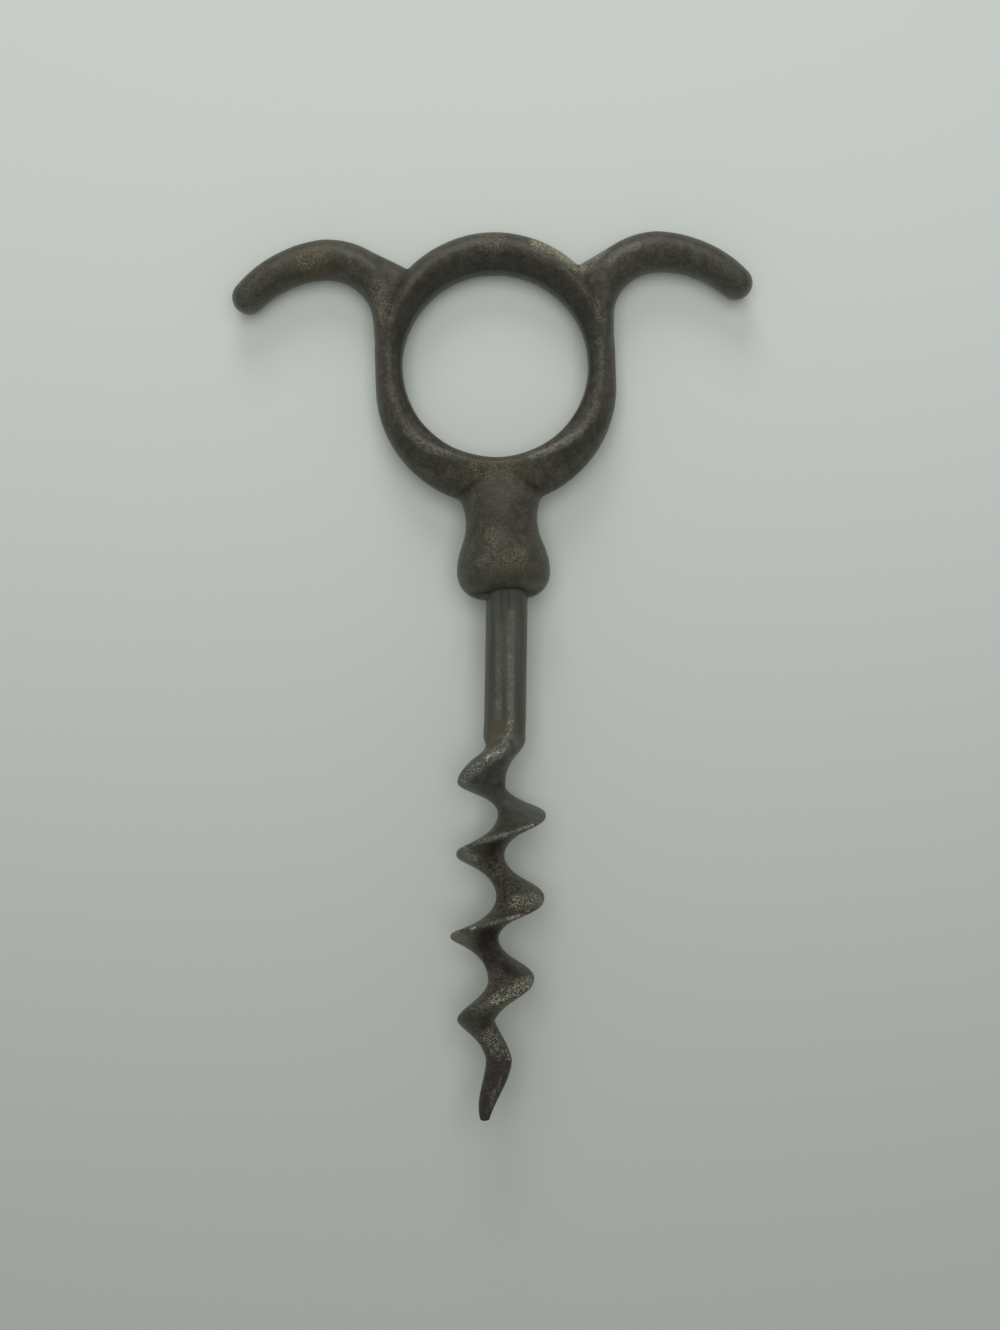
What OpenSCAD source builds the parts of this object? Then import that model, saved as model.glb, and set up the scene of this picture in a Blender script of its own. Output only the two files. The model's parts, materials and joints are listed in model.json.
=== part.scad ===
// Finger pull corkscrew. A cast handle has a finger ring, two curved finger rests and a bell
// below the ring. A steel worm is socketed in the bell by its shank, and a cross pin locks it.
// The corkscrew lies on a table as it is put down: it touches the table with its bell and its
// two finger rests. +Z is up, +Y points from the worm to the ring and X runs across the rests.
// The origin is on the table, below the middle of the whole corkscrew.

/* [Finger ring] */
// Diameter of the hole that a finger goes through
ring_bore_d = 25.4; // [20:0.1:32]
// Width of the ring's rod at its two sides
ring_side_w = 3.7; // [3:0.1:6]
// Width of the ring's rod at the top of the arch
ring_top_w = 5.7; // [4:0.1:8]
// Width of the ring's rod at the bottom, above the neck
ring_bottom_w = 6.5; // [4:0.1:9]
// Depth of the ring from front to back
ring_depth = 5.8; // [4:0.1:8]

/* [Finger rests] */
// Radius of the bend from the ring's side into the finger rest, on the underside
rest_root_r = 6.4; // [4:0.1:9]
// Height of the top of the finger rest's underside above the ring's centre
rest_height = 12.6; // [9:0.1:16]
// How far the left finger rest stands above that height and the right one below it, as cast
rest_skew = 0.35; // [0:0.05:1]
// Radius of the finger rest's underside
rest_r = 13.2; // [9:0.1:20]
// Angle that the finger rest curves down through, from its top to its tip
rest_angle = 44; // [20:1:60]
// Width of the rod at the top of the finger rest
rest_w = 5.4; // [4:0.1:8]
// Width of the rod at the finger rest's tip
rest_tip_w = 4.3; // [3:0.1:6]
// Depth of the finger rest from front to back
rest_depth = 6.2; // [4:0.1:8]

/* [Neck and bell] */
// Width of the neck at its waist
waist_w = 9.6; // [8.4:0.1:12]
// Distance from the ring's lower edge down to the waist
waist_drop = 2.2; // [1:0.1:6]
// Radius of the hollow curve at the waist
waist_curve_r = 7.5; // [5:0.1:12]
// Width of the bell where it is widest
bell_w = 12.6; // [11:0.1:18]
// Distance from the waist down to the widest part of the bell
bell_drop = 7; // [6:0.1:10]
// Radius of the bell's rounded lower edge
bell_round_r = 3.6; // [2:0.1:5]
// Depth of the neck and bell from front to back, as a share of their width
bell_flatness = 0.9; // [0.8:0.01:1]

/* [Shank and socket] */
// Diameter of the shank
shank_d = 5.65; // [4:0.05:7]
// Length of plain shank between the bell and the worm
shank_len = 16.2; // [8:0.1:40]
// Depth of the socket in the bell that the shank is driven into
socket_depth = 15; // [10:0.5:16]
// Lean of the shank away from the handle's axis
shank_lean = 3.2; // [0:0.1:6]
// Sideways offset of the shank at the bell's mouth
shank_offset = 0.3; // [0:0.1:0.6]
// Radial clearance of the driven fits
fit_clearance = 0.02; // [0.01:0.01:0.1]

/* [Cross pin] */
// Diameter of the cross pin
pin_d = 2.4; // [1.5:0.1:3.5]
// Distance from the bell's mouth up to the cross pin
pin_height = 6.5; // [4:0.1:9]

/* [Worm] */
// Length of the worm from the end of the plain shank to its point
worm_len = 53.4; // [40:0.1:70]
// Pitch of the worm's blade
worm_pitch = 11.1; // [8:0.05:14]
// Outside radius of the blade
worm_r = 6.05; // [4:0.05:8]
// Radius of the slender core
core_r = 0.45; // [0.3:0.05:1.2]
// Hollowness of the blade's flanks: 1 is straight, more is thinner towards the edge
blade_hollow = 3.8; // [2:0.1:6]
// Pitch of the blade up to its first crest, where it has only started to turn
lead_pitch = 19.3; // [14:0.1:30]
// Pitch of the blade's tight half turn from its first crest to its second
first_pitch = 8.2; // [6:0.1:14]
// Distance along the worm to the second crest
first_turn_len = 12.9; // [9:0.1:16]
// Distance along the worm to where the blade starts to rise out of the shank
rise_start = 1.9; // [0:0.1:4]
// Distance along the worm to where the blade has its full height
rise_end = 6; // [5:0.1:12]
// Outside radius of the blade in its last turn
last_turn_r = 4.4; // [3:0.1:6]
// Length of the last turn, where the blade narrows
last_turn_len = 12.7; // [8:0.1:20]
// Length of the round tail that ends in the point
tail_len = 7.7; // [4:0.1:14]
// Radius of the tail where it leaves the blade
tail_r = 1.75; // [1:0.05:2]
// Distance of the tail from the worm's axis
tail_offset = 1.25; // [0:0.05:1.5]
// Distance of the point from the worm's axis, to the side that the tail leaves the blade
point_offset = -0.4; // [-0.8:0.1:0.8]
// Radius of the blunt point
point_r = 0.55; // [0.4:0.05:1]
// Lean of the worm beyond the lean of the shank
worm_lean = 1.6; // [0:0.1:3]

/* [Hidden] */
$fn = 96;
iron = [0.24, 0.22, 0.19];
steel = [0.30, 0.29, 0.26];
pin_steel = [0.34, 0.33, 0.30];
// Exponent of the rods' rounded sections: 2 is an ellipse, more is squarer
squareness = 2.3;
// Length of the cuts that pass right through the handle
through_len = 2 * bell_w;

// Ring, measured from its centre: two arcs of one radius, joined by straight sides
bore_r = ring_bore_d / 2;
ring_outer_r = bore_r + ring_side_w;
arch_y = bore_r + ring_top_w - ring_outer_r;
bowl_y = ring_outer_r - bore_r - ring_bottom_w;
// The ring's rod stands this far into the bore, which then cuts a round land into it
bore_skim = 0.25;
ring_steps = 72;
ring_sides = 18;
// Keeps the way to the ring's straight sides finite in a direction that runs along them
least_cos = 0.01;

// Finger rests: a rod on the far side of the underside's curve
rest_x = ring_outer_r + rest_root_r;
rest_mid_y = rest_height + rest_w / 2;
left_height = rest_height + rest_skew;
right_height = rest_height - rest_skew;
rest_sides = 16;
// The rod starts inside the ring's side and comes out of it on the way up
root_drop = 4;
root_inset = 0.8;
root_size = 0.85;
root_steps = 4;
bend_steps = 12;
arc_steps = 10;
tip_steps = 5;
tip_end_a = 80;
// The web between the ring and a rest is wrapped round three balls: one in the ring, one that
// touches the rest's outer edge and one at the notch, which stands out a little further
web_r = 2.3;
web_ring_r = 1.7;
web_ring_a = 28;
web_rest_a = 122;
web_notch_a = 150;
web_notch_rise = 1.6;
web_facets = 20;

// Neck and bell: the bell's upper curve meets the hollow of the waist without a corner
waist_r = waist_w / 2;
bell_r = bell_w / 2;
waist_y = -bore_r - ring_bottom_w - waist_drop;
bell_y = waist_y - bell_drop;
mouth_y = bell_y - bell_round_r;
waist_centre = waist_r + waist_curve_r;
bell_gap = waist_centre - bell_r;
bell_curve_r = (pow(bell_gap, 2) + pow(bell_drop, 2) - pow(waist_curve_r, 2))
    / (2 * (bell_r - waist_r));
bell_centre = bell_r - bell_curve_r;
blend_a = atan2(bell_drop, waist_centre - bell_centre);
round_centre = bell_r - bell_round_r;
neck_top_a = 24;
neck_top_y = waist_y + waist_curve_r * sin(neck_top_a);
neck_top_r = waist_centre - waist_curve_r * cos(neck_top_a);
// The neck leans back into the ring's rod, and its rounded top ends inside it
ring_mid_y = -bore_r - ring_bottom_w / 2;
neck_sink = 0.3;
neck_dome_h = ring_mid_y + ring_bottom_w / 4 - neck_top_y;
// The front and back of the mouth curve in and end on the shank higher up than its sides
lip_share = 0.7;
lip_inset = 0.5;
neck_sides = 24;
neck_steps = 6;

// Shank, worm and pin, measured along the shank from the bell's mouth
shank_r = shank_d / 2;
pin_r = pin_d / 2;
pin_y = mouth_y + pin_height;
tang_gap = 0.2;
tang_len = socket_depth - tang_gap;
worm_step_a = 12;
worm_steps = ceil(worm_len / worm_pitch * 360 / worm_step_a);
worm_sides = 20;
// Samples round the blade crowd together towards its edge by this power
edge_crowding = 1.7;
tail_start = worm_len - tail_len;
taper_start = tail_start - last_turn_len;
collapse_start = tail_start - worm_pitch / 2;
// The worm starts inside the shank's end, a hair smaller than the shank
seat_overlap = 0.5;
seat_inset = 0.04;
root_r = shank_r - seat_inset;
core_start = 2.3;
core_end = 6.1;
// The blade's flanks grow hollow as it rises and fill out again in its last turn
first_hollow = 3.2;
hollow_end = 8;
last_hollow = 1.9;
// Rounding of the blade's edge, as a share of half a turn
edge_round = 0.165;
last_edge_round = 0.22;
first_crest = first_turn_len - first_pitch / 2;
// As it was forged, the worm's middle bows sideways by this much, to one side and then to the other
worm_bow = 0.33;
// The blade runs behind an even pitch by this angle on the side that faces this way, and ahead of
// it on the other side, in full from this far along the worm
waver_a = 8;
waver_dir = 43;
waver_full = 32;

// Resting on a table: the bell, or a wide blade, is deeper than the handle's upper end and tilts it
handle_half = max(rest_depth, ring_depth) / 2;
bell_tilt = asin((bell_r * bell_flatness - handle_half) / (rest_mid_y - bell_y));
blade_y = mouth_y - shank_len - rise_end;
blade_tilt = asin((worm_r - handle_half) / (rest_mid_y - blade_y));
rest_tilt = max(bell_tilt, blade_tilt);
ring_height = handle_half + rest_mid_y * sin(rest_tilt);

function ease(t) = (1 - cos(180 * max(0, min(1, t)))) / 2;
function between(s, s0, v0, s1, v1) = v0 + (v1 - v0) * ease((s - s0) / (s1 - s0));
function rounded(v) = sign(v) * pow(abs(v), 2 / squareness);
function polar(a) = [cos(a), sin(a)];

// Distance from the ring's centre to its outer edge, in direction a
function ring_reach(a) =
    let (side = ring_outer_r / max(abs(cos(a)), least_cos))
    let (side_y = side * sin(a))
    let (centre_y = side_y > arch_y ? arch_y : bowl_y)
    side_y <= arch_y && side_y >= bowl_y ? side
        : sin(a) * centre_y + sqrt(pow(ring_outer_r, 2) - pow(centre_y * cos(a), 2));

// One loop of points round the ring's rod, in direction a
function ring_loop(a) =
    let (inner = bore_r - bore_skim)
    let (mid = (ring_reach(a) + inner) / 2)
    let (half = (ring_reach(a) - inner) / 2)
    [for (k = [0 : ring_sides - 1])
        let (t = 360 * k / ring_sides)
        let (reach = mid + half * rounded(cos(t)))
        [reach * cos(a), reach * sin(a), -ring_depth / 2 * rounded(sin(t))]];

// One loop of points round a finger rest's rod: its underside, the way to its middle, its width
function rest_loop(under, out, w, size = 1) =
    let (mid = under + out * w / 2)
    [for (k = [0 : rest_sides - 1])
        let (t = 360 * k / rest_sides)
        let (p = mid + out * (size * w / 2 * rounded(cos(t))))
        [p.x, p.y, size * rest_depth / 2 * rounded(sin(t))]];

// Loops along a finger rest: up out of the ring's side, round the bend, along the arc, round the tip
function rest_loops(height) =
    let (bend = [rest_x, height - rest_root_r])
    let (arc = [rest_x, height - rest_r])
    let (tip_a = 90 - rest_angle)
    let (tip = arc + rest_r * polar(tip_a))
    let (tip_way = [sin(tip_a), -cos(tip_a)])
    concat(
        [for (i = [0 : root_steps - 1])
            let (rise = i / root_steps)
            let (inset = root_inset * (1 - ease(rise)))
            let (y = bend.y * rise - root_drop * (1 - rise))
            let (size = root_size + (1 - root_size) * rise)
            rest_loop([ring_outer_r - inset, y], [-1, 0], ring_side_w - inset, size)],
        [for (i = [0 : bend_steps - 1])
            let (a = 180 - 90 * i / bend_steps)
            let (w = between(i, 0, ring_side_w, bend_steps / 2, rest_w))
            rest_loop(bend + rest_root_r * polar(a), polar(a), w)],
        [for (i = [0 : arc_steps - 1])
            let (a = 90 - rest_angle * i / arc_steps)
            let (w = rest_w + (rest_tip_w - rest_w) * i / arc_steps)
            rest_loop(arc + rest_r * polar(a), polar(a), w)],
        [for (i = [0 : tip_steps])
            let (a = tip_end_a * i / tip_steps)
            rest_loop(tip + tip_way * (rest_tip_w / 2 * sin(a)), polar(tip_a), rest_tip_w, cos(a))]);

// Half depth of the bell's rounded lower edge, this far below its widest part
function lip_depth(drop) =
    let (least = shank_r - lip_inset)
    let (fall = min(1, drop / (lip_share * bell_round_r)))
    least + (bell_r * bell_flatness - least) * sqrt(1 - pow(fall, 2));
// Half depth of the neck above its waist
function neck_depth(y) =
    between(y, waist_y, waist_r * bell_flatness, ring_mid_y, ring_depth / 2 - neck_sink);

// Height, half width and half depth of the neck and bell, from the mouth up
function neck_stations() = concat(
    [for (i = [neck_steps : -1 : 1])
        let (a = 90 * i / neck_steps)
        let (drop = bell_round_r * sin(a))
        [bell_y - drop, round_centre + bell_round_r * cos(a), lip_depth(drop)]],
    [for (i = [0 : neck_steps])
        let (a = blend_a * i / neck_steps)
        let (half = bell_centre + bell_curve_r * cos(a))
        [bell_y + bell_curve_r * sin(a), half, half * bell_flatness]],
    [for (i = [1 : neck_steps])
        let (a = blend_a - (blend_a + neck_top_a) * i / neck_steps)
        let (half = waist_centre - waist_curve_r * cos(a))
        let (y = waist_y - waist_curve_r * sin(a))
        [y, half, y < waist_y ? half * bell_flatness : neck_depth(y)]],
    [for (i = [1 : neck_steps - 1])
        let (a = 90 * i / neck_steps)
        let (y = neck_top_y + neck_dome_h * sin(a))
        [y, neck_top_r * cos(a), neck_depth(y) * sqrt(cos(a))]]);

function neck_loops() = [for (s = neck_stations())
    [for (k = [0 : neck_sides - 1])
        let (t = 360 * k / neck_sides)
        [s[1] * cos(t), s[0], -s[2] * sin(t)]]];

// The blade at distance s along the worm: outside radius, core, hollowness, offset from the axis
function blade_r(s) = s < taper_start ? between(s, rise_start, root_r, rise_end, worm_r)
    : s < collapse_start ? between(s, taper_start, worm_r, collapse_start, last_turn_r)
    : s < tail_start ? between(s, collapse_start, last_turn_r, tail_start, tail_r)
    : tail_r + (point_r - tail_r) * pow((s - tail_start) / tail_len, 2);
function blade_core(s) = s < taper_start ? between(s, core_start, root_r, core_end, core_r)
    : min(blade_r(s), between(s, collapse_start, core_r, tail_start, tail_r));
function hollow(s) = s < taper_start ? between(s, rise_start, first_hollow, hollow_end, blade_hollow)
    : between(s, taper_start, blade_hollow, collapse_start, last_hollow);
function bluntness(s) = between(s, taper_start, edge_round, collapse_start, last_edge_round);
function axis_offset(s) = s < tail_start ? between(s, collapse_start, 0, tail_start, tail_offset)
    : between(s, tail_start, tail_offset, worm_len, point_offset);
function bow(s) =
    s > first_turn_len && s < tail_start
        ? worm_bow * sin(360 * (s - first_turn_len) / (tail_start - first_turn_len)) : 0;
// Direction that the blade faces
function blade_turn(s) =
    let (even = 360 * (s - first_turn_len) / worm_pitch)
    s < first_crest ? 360 * (s - first_crest) / lead_pitch - 180
        : s < first_turn_len ? 360 * (s - first_turn_len) / first_pitch
        : even - between(s, first_turn_len, 0, waver_full, waver_a) * cos(even - waver_dir);
// Share of the blade's height left at an angle away from its edge
function flank(away, s) =
    let (fall = sqrt(pow(away / 180, 2) + pow(bluntness(s), 2)))
    pow(max(0, (1 - fall) / (1 - bluntness(s))), hollow(s));

// Loop of points round the worm at distance s, with the first sample on the blade's edge
function worm_loop(s) =
    let (turn = blade_turn(s))
    let (aside = [bow(s) - tan(worm_lean) * s, 0])
    let (mid = axis_offset(s) * polar(blade_turn(min(s, tail_start))) + aside)
    [for (k = [0 : worm_sides - 1])
        let (step = 2 * k / worm_sides)
        let (away = step <= 1 ? 180 * pow(step, edge_crowding) : -180 * pow(2 - step, edge_crowding))
        let (reach = blade_core(s) + (blade_r(s) - blade_core(s)) * flank(away, s))
        let (p = mid + reach * polar(turn + away))
        [p.x, p.y, shank_len + s]];

function worm_loops() = concat(
    [[for (p = worm_loop(0)) p - [0, 0, seat_overlap]]],
    [for (i = [0 : worm_steps]) worm_loop(worm_len * i / worm_steps)]);

// Places in the handle's frame, where Y runs up the handle's axis from the ring's centre
function from_shank(p) = [
    shank_offset + p.x * cos(shank_lean) - p.z * sin(shank_lean),
    mouth_y - p.x * sin(shank_lean) - p.z * cos(shank_lean),
    p.y];
function rested_y(p) = p.y * cos(rest_tilt) + p.z * sin(rest_tilt);
ring_loops = [for (i = [0 : ring_steps - 1]) ring_loop(360 * i / ring_steps)];
top_y = max([for (loop = concat(ring_loops, rest_loops(left_height))) for (p = loop) rested_y(p)]);
tip_y = min([for (p = worm_loop(worm_len)) rested_y(from_shank(p))]);
centre_y = (top_y + tip_y) / 2;

// Skin over a row of loops, closed by flat ends or joined into a ring
module skin(loops, ring = false) {
    n = len(loops);
    m = len(loops[0]);
    rows = ring ? n : n - 1;
    sides = [for (i = [0 : rows - 1]) for (k = [0 : m - 1]) for (half = [0, 1])
        let (a = i * m, b = (i + 1) % n * m, k2 = (k + 1) % m)
        half == 0 ? [a + k, b + k, b + k2] : [a + k, b + k2, a + k2]];
    ends = ring ? [] : [[for (k = [0 : m - 1]) k], [for (k = [m - 1 : -1 : 0]) (n - 1) * m + k]];
    polyhedron([for (loop = loops) each loop], concat(sides, ends));
}

// The corkscrew as it lies on the table
module resting() {
    translate([0, -centre_y, ring_height])
        rotate([-rest_tilt, 0, 0])
            children();
}

// From the shank's own frame, where Z runs from the bell's mouth to the point
module along_shank() {
    translate([shank_offset, mouth_y, 0])
        rotate([0, 0, -shank_lean])
            rotate([90, 0, 0])
                children();
}

// Bar across the bell on the cross pin's axis
module pin_bar(r) {
    translate([0, pin_y, 0])
        rotate([0, 90, 0])
            cylinder(r = r, h = through_len, center = true);
}

module web_ball(p, r) {
    translate([p.x, p.y, 0])
        sphere(r = r, $fn = web_facets);
}

// Right-hand finger rest, and the web that fills the hollow where it leaves the ring
module finger_rest(height) {
    skin(rest_loops(height));
    reach = rest_root_r + rest_w - web_r;
    hull() {
        web_ball((bore_r + ring_side_w / 2) * polar(web_ring_a), web_ring_r);
        translate([rest_x, height - rest_root_r, 0]) {
            web_ball(reach * polar(web_rest_a), web_r);
            web_ball((reach + web_notch_rise) * polar(web_notch_a), web_r);
        }
    }
}

module handle() {
    color(iron)
        resting()
            difference() {
                union() {
                    skin(ring_loops, ring = true);
                    finger_rest(right_height);
                    mirror([1, 0, 0])
                        finger_rest(left_height);
                    skin(neck_loops());
                }
                cylinder(r = bore_r, h = through_len, center = true);
                along_shank()
                    translate([0, 0, -socket_depth])
                        cylinder(r = shank_r + fit_clearance, h = 2 * socket_depth);
                pin_bar(pin_r + fit_clearance);
            }
}

module worm() {
    color(steel)
        resting()
            difference() {
                along_shank() {
                    translate([0, 0, -tang_len])
                        cylinder(r = shank_r, h = tang_len + shank_len);
                    skin(worm_loops());
                }
                pin_bar(pin_r + fit_clearance);
            }
}

module cross_pin() {
    color(pin_steel)
        resting()
            intersection() {
                pin_bar(pin_r);
                skin(neck_loops());
            }
}

handle();
worm();
cross_pin();
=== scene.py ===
"""Finger pull corkscrew: a cast handle, a bladed steel worm and the pin that locks them together."""
import json
import logging
import math
from dataclasses import dataclass
from enum import Enum
from typing import Callable, Mapping, Optional, Sequence, Union

import bmesh
import bpy
import numpy as np
from mathutils import Matrix, Vector


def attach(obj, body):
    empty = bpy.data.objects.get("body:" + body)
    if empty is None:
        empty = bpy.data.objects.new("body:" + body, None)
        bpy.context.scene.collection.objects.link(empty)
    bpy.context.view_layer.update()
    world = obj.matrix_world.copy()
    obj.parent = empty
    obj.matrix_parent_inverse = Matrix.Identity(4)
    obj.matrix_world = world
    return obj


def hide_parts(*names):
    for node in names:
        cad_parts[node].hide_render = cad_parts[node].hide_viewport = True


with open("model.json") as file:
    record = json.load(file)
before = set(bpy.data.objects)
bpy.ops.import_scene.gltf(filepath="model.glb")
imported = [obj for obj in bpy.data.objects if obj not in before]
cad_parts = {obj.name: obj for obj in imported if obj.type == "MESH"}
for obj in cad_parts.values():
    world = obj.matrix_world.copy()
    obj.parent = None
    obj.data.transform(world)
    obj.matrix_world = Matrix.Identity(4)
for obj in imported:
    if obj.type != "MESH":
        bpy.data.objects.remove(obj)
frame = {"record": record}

LOG = logging.getLogger("corkscrew")
MM = 0.001
BODY = "root"
QUARTER = math.pi / 2
NIL = 1e-4

Colour = tuple[float, float, float]
Point = tuple[float, float, float]
Feed = Union["Signal", float, Colour]


def ease(share: float) -> float:
    """Gives a smooth step from 0 to 1 that is level at both ends."""
    return (1 - math.cos(math.pi * max(0.0, min(1.0, share)))) / 2


def between(place: float, start: float, first: float, end: float, last: float) -> float:
    """Eases from one value to another along a stretch.

    Args:
        place: Where along the stretch.
        start: Where the stretch starts.
        first: The value up to its start.
        end: Where the stretch ends.
        last: The value from its end on.

    Returns:
        The value at that place.
    """
    return first + (last - first) * ease((place - start) / (end - start))


def sign(value: float) -> int:
    """Gives the sign of a value, and 0 where it is next to nothing."""
    return (value > NIL) - (value < -NIL)


class Side(Enum):
    """The two sides of the handle, seen from above with the ring at the top."""

    LEFT = -1
    RIGHT = 1


# Moves at the bench


def deselect() -> None:
    """Leaves edit mode, with nothing selected."""
    if bpy.context.object and bpy.context.object.mode != "OBJECT":
        bpy.ops.object.mode_set(mode="OBJECT")
    bpy.ops.object.select_all(action="DESELECT")


def pick(*pieces: bpy.types.Object) -> None:
    """Selects only these pieces and makes the first one active.

    Args:
        pieces: The pieces.
    """
    deselect()
    for piece in pieces:
        piece.select_set(True)
    bpy.context.view_layer.objects.active = pieces[0]


def edit(piece: bpy.types.Object) -> None:
    """Opens one piece in edit mode with all of it selected.

    Args:
        piece: The piece.
    """
    pick(piece)
    bpy.ops.object.mode_set(mode="EDIT")
    bpy.ops.mesh.select_all(action="SELECT")


def reshape(piece: bpy.types.Object, shape: Callable[[Vector], Point]) -> None:
    """Moves every point of a piece.

    Args:
        piece: The piece that is open in edit mode.
        shape: Gives a point's new place for its old one.
    """
    mesh = bmesh.from_edit_mesh(piece.data)
    for point in mesh.verts:
        point.co = shape(point.co)
    bmesh.update_edit_mesh(piece.data)


def modify(piece: bpy.types.Object, kind: str, **settings: object) -> None:
    """Adds a modifier and applies it.

    Args:
        piece: The piece that is changed.
        kind: The modifier's type.
        settings: The modifier's own settings.
    """
    pick(piece)
    modifier = piece.modifiers.new(kind.lower(), kind)
    for name, value in settings.items():
        setattr(modifier, name, value)
    bpy.ops.object.modifier_apply(modifier=modifier.name)


def trim(piece: bpy.types.Object, cutter: bpy.types.Object) -> None:
    """Cuts a cutter's shape out of a piece, and uses the cutter up."""
    modify(piece, "BOOLEAN", object=cutter, operation="DIFFERENCE", solver="EXACT")
    bpy.data.objects.remove(cutter)


def close_up(piece: bpy.types.Object, reach: float = NIL) -> None:
    """Merges doubled points and turns every face outwards.

    Args:
        piece: The piece.
        reach: How close two points lie that become one.
    """
    edit(piece)
    bpy.ops.mesh.remove_doubles(threshold=reach)
    bpy.ops.mesh.normals_make_consistent(inside=False)
    bpy.ops.object.mode_set(mode="OBJECT")


def drop_spare_points(piece: bpy.types.Object) -> None:
    """Dissolves points that only two edges meet at, where two faces could fold onto each other.

    Args:
        piece: The piece.
    """
    edit(piece)
    bpy.ops.mesh.select_all(action="DESELECT")
    mesh = bmesh.from_edit_mesh(piece.data)
    for point in mesh.verts:
        point.select_set(len(point.link_edges) == 2)
    bmesh.update_edit_mesh(piece.data)
    bpy.ops.mesh.dissolve_verts()
    bpy.ops.object.mode_set(mode="OBJECT")


def soften(piece: bpy.types.Object, centre: Point, reach: float, rounds: int) -> None:
    """Smooths a piece round a line through it that runs along Z, less towards the reach.

    Args:
        piece: The piece that is smoothed.
        centre: A place on the line.
        reach: How far from the line the smoothing ends.
        rounds: How many times each point is averaged with its neighbours.
    """
    group = piece.vertex_groups.new(name="soft")
    for point in piece.data.vertices:
        far = (point.co.xy - Vector(centre).xy).length
        if far < reach:
            group.add([point.index], ease(1 - far / reach), "REPLACE")
    modify(piece, "SMOOTH", factor=0.5, iterations=rounds, vertex_group=group.name)
    piece.vertex_groups.clear()


def settle(piece: bpy.types.Object, seat: Matrix) -> None:
    """Moves a piece to its seat, leaves its object at the origin and shades it smooth.

    Args:
        piece: The piece, in the frame that it was modelled in.
        seat: From that frame to the row's frame.
    """
    pick(piece)
    piece.matrix_world = seat
    bpy.ops.object.transform_apply(location=True, rotation=True, scale=True)
    bpy.ops.object.shade_smooth()


class Rod:
    """A rod that is drawn out of a disc, one section after another, in the plane of the handle.

    Each section stands upright in that plane: its depth is along Z, its width across the rod.
    """

    def __init__(self, name: str, centre: Point, width: float, depth: float, sides: int) -> None:
        """Lays the first disc, square to Y.

        Args:
            name: The piece's name.
            centre: The disc's centre.
            width: Its size along X.
            depth: Its size along Z.
            sides: How many points it has.
        """
        deselect()
        bpy.ops.mesh.primitive_circle_add(
            vertices=sides, radius=0.5, fill_type="NGON", location=centre, rotation=(QUARTER, 0, 0)
        )
        self.piece = bpy.context.object
        self.piece.name = name
        bpy.ops.object.transform_apply(location=True, rotation=True, scale=True)
        edit(self.piece)
        self.centre = Vector(centre)
        self.width = 1.0
        self.depth = 1.0
        self.resize(width, depth)

    def resize(self, width: float, depth: float) -> None:
        """Gives the last section a new size.

        Args:
            width: Its width.
            depth: Its depth.
        """
        across = width / self.width
        deep = depth / self.depth
        bpy.ops.transform.resize(value=(across, across, deep), center_override=self.centre)
        self.width = width
        self.depth = depth

    def advance(self, centre: Point, width: float, depth: float) -> None:
        """Draws the rod on to a section that is parallel to the last one.

        Args:
            centre: The new section's centre.
            width: Its width.
            depth: Its depth.
        """
        move = Vector(centre) - self.centre
        bpy.ops.mesh.extrude_region_move(TRANSFORM_OT_translate={"value": move})
        self.centre = Vector(centre)
        self.resize(width, depth)

    def swing(self, pivot: Point, angle: float, width: float, depth: float) -> None:
        """Draws the rod on round a pivot.

        Args:
            pivot: The centre of the bend.
            angle: How far it turns, in radians, anticlockwise from above.
            width: The new section's width.
            depth: Its depth.
        """
        bpy.ops.mesh.extrude_region_move()
        bpy.ops.transform.rotate(value=-angle, orient_axis="Z", center_override=pivot)
        turn = Matrix.Rotation(angle, 3, "Z")
        self.centre = Vector(pivot) + turn @ (self.centre - Vector(pivot))
        self.resize(width, depth)

    def finish(self) -> bpy.types.Object:
        """Closes the rod up and gives its piece."""
        close_up(self.piece)
        return self.piece


class Loft:
    """A closed bar that is drawn out of a disc, with each loop of points laid in place."""

    def __init__(self, name: str, loop: Sequence[Point], marks: Sequence[float]) -> None:
        """Lays the first loop.

        Args:
            name: The piece's name.
            loop: The loop's points, in order.
            marks: A number for each point, kept as the piece's edge attribute.
        """
        deselect()
        bpy.ops.mesh.primitive_circle_add(vertices=len(loop), radius=1.0, fill_type="NGON")
        self.piece = bpy.context.object
        self.piece.name = name
        edit(self.piece)
        mesh = bmesh.from_edit_mesh(self.piece.data)
        spoke = mesh.verts.layers.int.new("spoke")
        mesh.verts.layers.float.new("edge")
        for point in mesh.verts:
            point[spoke] = point.index
        self._lay(loop, marks)

    def _lay(self, loop: Sequence[Point], marks: Sequence[float]) -> None:
        """Puts the selected loop's points in place, and marks them.

        Args:
            loop: The loop's points, in order.
            marks: A number for each point.
        """
        mesh = bmesh.from_edit_mesh(self.piece.data)
        spoke = mesh.verts.layers.int["spoke"]
        edge = mesh.verts.layers.float["edge"]
        for point in mesh.verts:
            if point.select:
                point.co = loop[point[spoke]]
                point[edge] = marks[point[spoke]]
        bmesh.update_edit_mesh(self.piece.data)

    def extrude(self, loop: Sequence[Point], marks: Sequence[float]) -> None:
        """Draws the bar on to the next loop."""
        bpy.ops.mesh.extrude_region_move()
        self._lay(loop, marks)

    def finish(self) -> bpy.types.Object:
        """Closes the bar up.

        Returns:
            Its piece.
        """
        close_up(self.piece)
        self.piece.data.attributes.remove(self.piece.data.attributes["spoke"])
        return self.piece


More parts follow.
